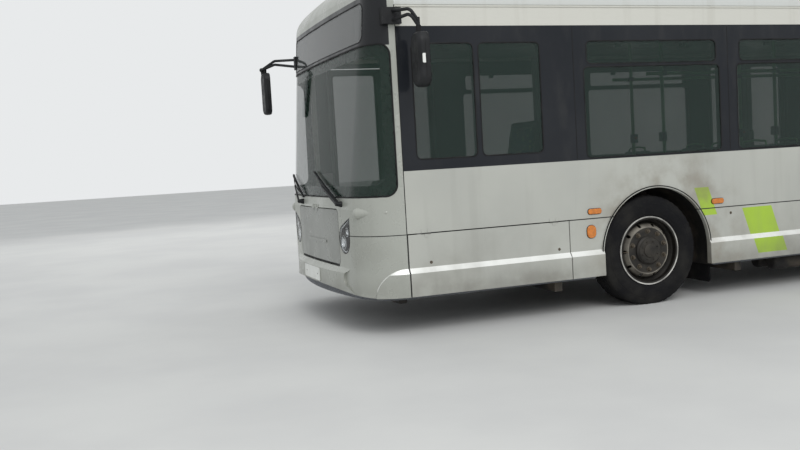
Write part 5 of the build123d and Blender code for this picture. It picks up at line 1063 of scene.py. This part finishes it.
def wheel_pieces():
    """Tyres, wheel nuts, hub covers with their bolts, and valves."""
    inner_face_y = WHEEL_FACE_Y - TYRE_WIDTH - TWIN_GAP
    for side, name in SIDES:
        tyre = tyre_piece("tyre_front_" + name, "front_wheel_" + name, FRONT_AXLE_X, side, WHEEL_FACE_Y)
        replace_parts(tyre, "front_tyre_" + name)
        tyre = tyre_piece("tyre_rear_outer_" + name, "rear_wheel_" + name, REAR_AXLE_X, side, WHEEL_FACE_Y)
        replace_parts(tyre, "rear_tyres_" + name)
        tyre_piece("tyre_rear_inner_" + name, "rear_wheel_" + name, REAR_AXLE_X, side, inner_face_y)
        for end, axle_x, disc_in, hub_out, hub_name, profile, (stand, *bolts), valve_in in WHEEL_ENDS:
            body = end + "_wheel_" + name
            label = "_" + end + "_" + name
            disc_y = WHEEL_FACE_Y - disc_in
            hub_y = disc_y + hub_out
            nuts = Piece()
            nut_ring(nuts, axle_x, side, disc_y, NUT_RING_RADIUS, 10, 0.0165, 0.02)
            nuts.make("wheel_nuts" + label, "bolt", body)
            hub = Piece().turned(profile, (axle_x, side * hub_y, AXLE_Z), (0, side, 0), 48)
            nut_ring(hub, axle_x, side, hub_y + stand, *bolts)
            hub.make(hub_name + label, "wheel", body)
            path = [(axle_x + reach, side * (WHEEL_FACE_Y - valve_in + out), AXLE_Z)
                    for reach, out in mm(258, -12, 250, 10, 238, 26, 222, 36)]
            valve = Piece().tube(path, 0.004)
            valve.turned(mm(6, -4, 6.2, 8, 5, 12, 0, 13), path[-1], (-0.8, side * 0.5, 0), 12)
            valve.make("valve" + label, "bolt", body)


def door_pieces():
    """Rubber lips where the leaves meet, brushes over the sill, and gaskets on both faces of the panes."""
    lip = mm(0, 3, 4, 6, 5.5, 14, 4, 26, 5.5, 33, 0, 37)
    low_z = DOOR_SILL_Z + PANEL_GAP
    for door_name, door_x in DOORS.items():
        for leaf, hand in (("fore", 1), ("aft", -1)):
            label = door_name + "_" + leaf
            edge_x = door_x + hand * DOOR_MEET_GAP / 2
            x0, x1 = sorted((edge_x, door_x + hand * (DOOR_WIDTH / 2 - PANEL_GAP)))
            rubber, gasket = Piece(), Piece()
            rubber.plate([(edge_x - hand * u, v - HALF_W, DOOR_SILL_Z + 0.02) for u, v in lip],
                         (0, 0, DOOR_HEAD_Z - DOOR_SILL_Z - 0.04))
            rubber.box((x0 + 0.01, 0.012 - HALF_W, low_z - 0.006), (x1 - 0.01, 0.028 - HALF_W, low_z + 0.004))
            rubber.make("door_rubber_" + label, "seal", label + "_leaf")
            pane = rounded(x0 + DOOR_BORDER, x1 - DOOR_BORDER, low_z + 2 * DOOR_BORDER,
                           DOOR_HEAD_Z - PANEL_GAP - DOOR_BORDER, DOOR_PANE_CORNER, 0.6)
            section = strip(0.007, 0.006, -0.003, 0.002)
            for face_y, way in ((-HALF_W, -1), (DOOR_THICK - HALF_W, 1)):
                gasket.ribbon([(x, face_y, z) for x, z in pane], (0, way, 0), section)
            gasket.make("door_gasket_" + label, "seal", label + "_leaf")


def tail_pieces():
    """Rings of the tail lamps, reflectors, window gasket, lid handle, louvre mesh and a blank plate."""
    rings, reflectors, mesh = Piece(), Piece(), Piece()
    lamp_ring = mm(55.5, -2, 55.5, 6, 60, 9, 66, 4, 67, -2)
    for side in (1, -1):
        for z in TAIL_LAMP_Z:
            rings.turned(lamp_ring, (TAIL_X, side * TAIL_LAMP_Y, z), (-1, 0, 0))
        outline = rounded(side * 0.98 - 0.055, side * 0.98 + 0.055, 0.495, 0.545, 0.012)
        reflectors.plate([(TAIL_X - SKIRT_STEP - 0.0006, y, z) for y, z in outline], (0.006, 0, 0))
    rings.make("tail_lamp_rings", "gloss_black")
    reflectors.soften(0.001).make("tail_reflectors", "red")
    outline = rounded(-REAR_GLASS_HALF_W, REAR_GLASS_HALF_W, REAR_GLASS_LOW_Z, REAR_GLASS_TOP_Z,
                      REAR_GLASS_CORNER, 0.3)
    gasket = Piece().ribbon([(TAIL_X, y, z) for y, z in outline], (-1, 0, 0),
                            mm(-10, -4, -8, 3, 0, 5, 8, 3, 10, -4))
    gasket.make("rear_window_gasket", "seal")
    grip = mm(0, -70, -17, -55, -18.5, 0, -17, 55, 0, 70)
    handle = Piece().tube([(TAIL_X + out, y, 0.72) for out, y in grip], 0.006, 12)
    handle.make("lid_handle", "black", "engine_lid_body")
    for bank in LOUVRE_BANKS_Y:
        for index in range(24):
            y = bank - 0.37 + index * 0.74 / 23
            mesh.tube([(TAIL_X + 0.029, y, 0.885), (TAIL_X + 0.029, y, 1.335)], 0.0022, 6)
    mesh.make("louvre_mesh", "black", "engine_lid_body")
    plate_piece("rear_plate", (TAIL_X - SKIRT_STEP, 0.0, 0.46), -1, 0.52, 0.11)


def roof_pieces():
    """Slats on the long fairing, hatch seams and screws, gutter strips and a flat aerial."""
    slats, seams, gutters = Piece(), Piece(), Piece()
    x0, x1, half, top = FAIRING
    for side in (1, -1):
        for index in range(26):
            x = x0 + 0.3 + index * (x1 - x0 - 0.6) / 25
            slats.box((x - 0.012, side * (half - 0.002), top - 0.085),
                      (x + 0.012, side * (half + 0.004), top - 0.035))
        path = [(x, side * HALF_W, GROOVE_Z - 0.012) for x in (TAIL_X + 0.2, MASK_SEAM_X - 0.01)]
        gutters.ribbon(path, (0, side, 0), mm(-4, -2, -4, 6, 2, 7, 4, 4, 4, -2), False)
    for x0, x1, half in ROOF_HATCHES:
        outline = rounded(x0 + 0.06, x1 - 0.06, 0.06 - half, half - 0.06, 0.06, 0.3)
        seams.ribbon([(x, y, HATCH_TOP_Z) for x, y in outline], (0, 0, 1), strip(0.006, 0.005, -0.002, 0.004))
        for x in (x0 + 0.12, (x0 + x1) / 2, x1 - 0.12):
            for y in (0.1 - half, half - 0.1):
                seams.turned(mm(0, 6, 8, 5, 12, 1, 12, -1), (x, y, HATCH_TOP_Z), (0, 0, 1), 14)
    slats.soften(0.0015).make("fairing_slats", "black")
    seams.make("hatch_seams", "seal")
    gutters.make("roof_gutters", "roof")
    aerial = Piece().turned(mm(45, -10, 45, 12, 36, 30, 20, 42, 0, 46),
                            (FRONT_AXLE_X + 1.55, 0, ROOF_TOP_Z - 0.002), (0, 0, 1), 32)
    aerial.make("roof_aerial", "gloss_black")


def pillow(place, ahead, up, length, width, thick, channels):
    """A crowned pad on the plane of place, with sewn channels across it and sides that pull in."""
    ahead = Vector(ahead).normalized()
    up = Vector(up).normalized()
    across = up.cross(ahead)
    steps = 16
    tops, bottoms = [], []
    for i in range(steps + 1):
        u = -math.cos(math.pi * i / steps)
        top, bottom = [], []
        for j in range(steps + 1):
            v = -math.cos(math.pi * j / steps)
            pull = 1.0 - 0.03 * (1 - u * u) * abs(v) - 0.03 * (1 - v * v) * abs(u)
            crown = ((1 - abs(u) ** 5) * (1 - abs(v) ** 5)) ** 0.42
            seam = sum(math.exp(-((u - channel) / 0.045) ** 2) for channel in channels)
            height = thick * crown * (1 - 0.22 * seam + 0.12 * (1 - u * u) * (1 - v * v))
            spot = Vector(place) + ahead * (length / 2 * u * pull) + across * (width / 2 * v * pull)
            top.append(spot + up * height)
            bottom.append(spot)
        tops.append(top)
        bottoms.append(bottom)
    pad = Piece()
    pad.grid(tops, round_columns=False)
    pad.grid(bottoms, round_columns=False)
    return pad


def seat_pieces():
    """A sewn cushion and a backrest pad on every moulded seat, and grips on the seats' backs."""
    grips = Piece()
    bow = ((-0.262, -0.15, 0.982), (-0.268, -0.14, 1.018), (-0.27, 0, 1.03), (-0.268, 0.14, 1.018),
           (-0.262, 0.15, 0.982))
    number = 0
    for x, floor_z, places in SEAT_ROWS:
        for y in places:
            number += 1
            cushion = pillow((x + 0.035, y, floor_z + 0.4665), (0.36, 0, 0.03), (-0.03, 0, 0.36),
                             0.335, 0.4, 0.038, (-0.36, 0.36))
            cushion.make("seat_cushion_%02d" % number, "fabric")
            back = pillow((x - 0.202, y, floor_z + 0.735), (-0.1, 0, 0.535), (0.535, 0, 0.1),
                          0.42, 0.39, 0.034, (-0.45, 0.1))
            back.make("seat_back_pad_%02d" % number, "fabric")
            grips.tube([(x + dx, y + dy, floor_z + dz) for dx, dy, dz in bow], 0.011)
    grips.make("seat_grips", "rail")
    x, y, z = DRIVER_SEAT
    cushion = pillow((x + 0.06, y, z + 0.5335), (0.39, 0, 0.02), (-0.02, 0, 0.39), 0.36, 0.44, 0.05, (0.3,))
    cushion.make("driver_cushion", "fabric")
    back = pillow((x - 0.18, y, z + 0.825), (-0.1, 0, 0.61), (0.61, 0, 0.1), 0.52, 0.43, 0.05, (-0.2, 0.35))
    back.make("driver_back_pad", "fabric")


def cab_pieces():
    """Instrument hood with blank dials, switch rows, column stalks and the wheel's centre pad."""
    x, y, z = STEERING_WHEEL
    dials, switches, stalks = Piece(), Piece(), Piece()
    hood_x = DASH_REAR_X + 0.085
    section = mm(-90, 0, -100, 55, -70, 105, 0, 118, 100, 100, 150, 20, 150, -10)
    hood = Piece().plate([(hood_x + dx, y - 0.24, 1.105 + dz) for dx, dz in section], (0, 0.48, 0))
    hood.soften(0.006).make("instrument_hood", "black")
    for dial_y in (y - 0.12, y, y + 0.12):
        dials.turned(mm(48, -2, 50, 4, 44, 5, 42, 1, 0, 1), (hood_x - 0.097, dial_y, 1.165), (-1, 0, 0.3), 32)
        dials.box((hood_x - 0.103, dial_y - 0.002, 1.165), (hood_x - 0.099, dial_y + 0.002, 1.198))
    dials.make("instrument_dials", "chrome")
    for index in range(5):
        for switch_y in (y - 0.46 + 0.04 * index, y + 0.3 + 0.035 * index):
            switches.box((DASH_REAR_X - 0.035, switch_y - 0.012, 1.02),
                         (DASH_REAR_X - 0.012, switch_y + 0.012, 1.05))
    switches.soften(0.003).make("dash_switches", "gloss_black")
    axis = Vector((-math.sin(STEER_TILT), 0, math.cos(STEER_TILT)))
    pad = Piece().turned(mm(60, 4, 62, 16, 55, 26, 30, 31, 0, 32), (x, y, z), axis, 36)
    pad.make("wheel_pad", "black")
    root = Vector((x, y, z)) - axis * 0.06
    for side in (1, -1):
        bends = ((0, 0, 0), (-0.01, 0.09, 0), (-0.02, 0.17, 0.012), (-0.03, 0.205, 0.02))
        stalks.tube([root + Vector((dx, side * dy, dz)) for dx, dy, dz in bends], 0.007)
    stalks.make("column_stalks", "black")


def saloon_pieces():
    """Ceiling ducts with light strips, heater ducts, flanges and clamps of the poles, stop buttons."""
    ducts, lights, heaters, flanges, buttons, caps = (Piece() for _ in range(6))
    duct = mm(620, 2800, 660, 2560, 930, 2455, 1165, 2435, 1180, 2600, 1020, 2720)
    light = mm(700, 2545.5, 710, 2536, 860, 2478, 880, 2476)
    for side in (1, -1):
        ducts.plate([(DUCT_REAR_X, side * y, z) for y, z in duct], (DUCT_FRONT_X - DUCT_REAR_X, 0, 0))
        for index in range(7):
            start = DUCT_REAR_X + 0.35 + index * 1.35
            lights.plate([(start, side * y, z) for y, z in light], (1.1, 0, 0))
        for start, end in HEATER_RUNS:
            if side < 0:
                if any(start < door_x < end for door_x in DOORS.values()):
                    continue
                start = max(start, DOORS["mid_door"] + DOOR_WIDTH / 2 + 0.25)
            heaters.box((start, side * 1.1, FLOOR_Z + 0.02), (end, side * 1.185, FLOOR_Z + 0.15))
    ducts.soften(0.012).make("ceiling_ducts", "lining")
    lights.soften(0.002).make("ceiling_lights", "clear_lens")
    heaters.soften(0.008).make("wall_heaters", "lining")
    for x, y, floor_z in POLES:
        side = 1 if y > 0 else -1
        flanges.turned(mm(17, 30, 22, 26, 24, 8, 40, 6, 42, 0), (x, y, floor_z + 0.0005), (0, 0, 1), 28)
        flanges.ribbon([(x, y - side * 0.02, RAIL_Z), (x, y + side * 0.055, RAIL_Z)], (0, 0, 1),
                       strip(0.022, 0.022, -0.021, 0.021), False)
        button_z = floor_z + 1.12
        face_y = y - side * 0.048
        buttons.box((x - 0.024, face_y, button_z - 0.045), (x + 0.024, y + side * 0.019, button_z + 0.045))
        caps.turned(mm(0, 6, 12, 5.5, 15.5, 2, 15.5, -2), (x, face_y, button_z + 0.008), (0, -side, 0), 20)
    flanges.soften(0.003).make("pole_flanges", "black")
    buttons.soften(0.007).make("stop_buttons", "cab_grey")
    caps.make("stop_button_caps", "red")


def underbody_pieces():
    """Brake chambers with their push rods over the portal axle, and brake pipes."""
    brakes, pipes = Piece(), Piece()
    chamber = mm(0, -75, 50, -70, 62, -30, 66, -4, 66, 4, 60, 30, 48, 62, 0, 66)
    bends = ((0.2, 0.4, 0.075), (0.42, 0.42, 0.06), (0.62, 0.44, 0.1), (0.86, 0.46, 0.082))
    chamber_z = PORTAL_Z + 0.075
    for side in (1, -1):
        for x in (REAR_AXLE_X - 0.14, REAR_AXLE_X + 0.14):
            brakes.turned(chamber, (x, side * 0.4, chamber_z), (0, side, 0), 28)
            brakes.tube([(x, side * 0.46, chamber_z), (x, side * 0.6, chamber_z)], 0.012)
        pipes.tube([(REAR_AXLE_X + dx, side * y, PORTAL_Z + dz) for dx, y, dz in bends], 0.009)
    brakes.make("brake_chambers", "steel")
    pipes.make("brake_pipes", "seal")


windscreen_pieces()
wiper_pieces()
headlamp_pieces()
plate_piece("front_plate", FRONT_PLATE, 1, *FRONT_PLATE_SIZE)
mirror_pieces()
seam_pieces()
window_pieces()
side_pieces()
wheel_pieces()
door_pieces()
tail_pieces()
roof_pieces()
seat_pieces()
cab_pieces()
saloon_pieces()
underbody_pieces()


def set_camera():
    yaw, pitch, roll = (math.radians(angle) for angle in CAMERA_TURN)
    ahead = Vector((math.cos(yaw) * math.cos(pitch), math.sin(yaw) * math.cos(pitch), math.sin(pitch)))
    level = Vector((math.sin(yaw), -math.cos(yaw), 0.0))
    upright = level.cross(ahead)
    right = math.cos(roll) * level + math.sin(roll) * upright
    up = math.cos(roll) * upright - math.sin(roll) * level
    data = bpy.data.cameras.new("photo_camera")
    data.lens = CAMERA_LENS
    data.sensor_width = 36.0
    camera = bpy.data.objects.new("photo_camera", data)
    turn = Matrix((right, up, -ahead)).transposed().to_4x4()
    camera.matrix_world = Matrix.Translation(CAMERA_PLACE) @ turn
    bpy.context.scene.collection.objects.link(camera)
    bpy.context.scene.camera = camera


def set_light():
    """An even sky that lights the bus, a plain backdrop that is seen and mirrored, and three soft lamps."""
    scene = bpy.context.scene
    scene.view_settings.view_transform = "Standard"
    world = bpy.data.worlds.new("studio")
    scene.world = world
    world.use_nodes = True
    tree = world.node_tree
    ambient = tree.nodes["Background"]
    ambient.inputs["Color"].default_value = (0.94, 0.97, 1.0, 1.0)
    ambient.inputs["Strength"].default_value = 0.72
    backdrop = tree.nodes.new("ShaderNodeBackground")
    backdrop.inputs["Color"].default_value = rgb(232, 234, 235)
    rays = tree.nodes.new("ShaderNodeLightPath").outputs
    seen = rays["Is Camera Ray"]
    for ray in ("Is Transmission Ray", "Is Glossy Ray"):
        either = tree.nodes.new("ShaderNodeMath")
        either.operation = "MAXIMUM"
        tree.links.new(seen, either.inputs[0])
        tree.links.new(rays[ray], either.inputs[1])
        seen = either.outputs[0]
    mix = tree.nodes.new("ShaderNodeMixShader")
    for number, output in enumerate((seen, ambient.outputs[0], backdrop.outputs[0])):
        tree.links.new(output, mix.inputs[number])
    tree.links.new(mix.outputs[0], tree.nodes["World Output"].inputs["Surface"])
    for name, place, aim, size, power in (
        ("key", (4.5, 14.5, 13.5), (1.0, 0.0, 1.2), 12.0, 1450.0),
        ("fill", (6.0, -14.0, 9.0), (1.0, 0.0, 1.2), 10.0, 420.0),
        ("back", (-14.0, -4.0, 9.0), (-2.0, 0.0, 1.2), 10.0, 340.0),
    ):
        data = bpy.data.lights.new(name, "AREA")
        data.size = size
        data.energy = power
        lamp = bpy.data.objects.new(name, data)
        lamp.location = place
        lamp.visible_glossy = name == "key"
        lamp.rotation_euler = (Vector(aim) - Vector(place)).to_track_quat("-Z", "Y").to_euler()
        scene.collection.objects.link(lamp)


def floor_plane():
    mesh = bpy.data.meshes.new("studio_floor")
    corner_points = [(-60, -60, 0), (60, -60, 0), (60, 60, 0), (-60, 60, 0)]
    mesh.from_pydata(corner_points, [], [(0, 1, 2, 3)])
    plane = bpy.data.objects.new("studio_floor", mesh)
    shade = Shade("studio_floor", rgb(206, 206, 203), 0.75)
    shade.mottle(rgb(208, 208, 205), rgb(200, 200, 198), 0.6, 4, 0.3, 0.7)
    mesh.materials.append(shade.material)
    bpy.context.scene.collection.objects.link(plane)


set_camera()
set_light()
floor_plane()
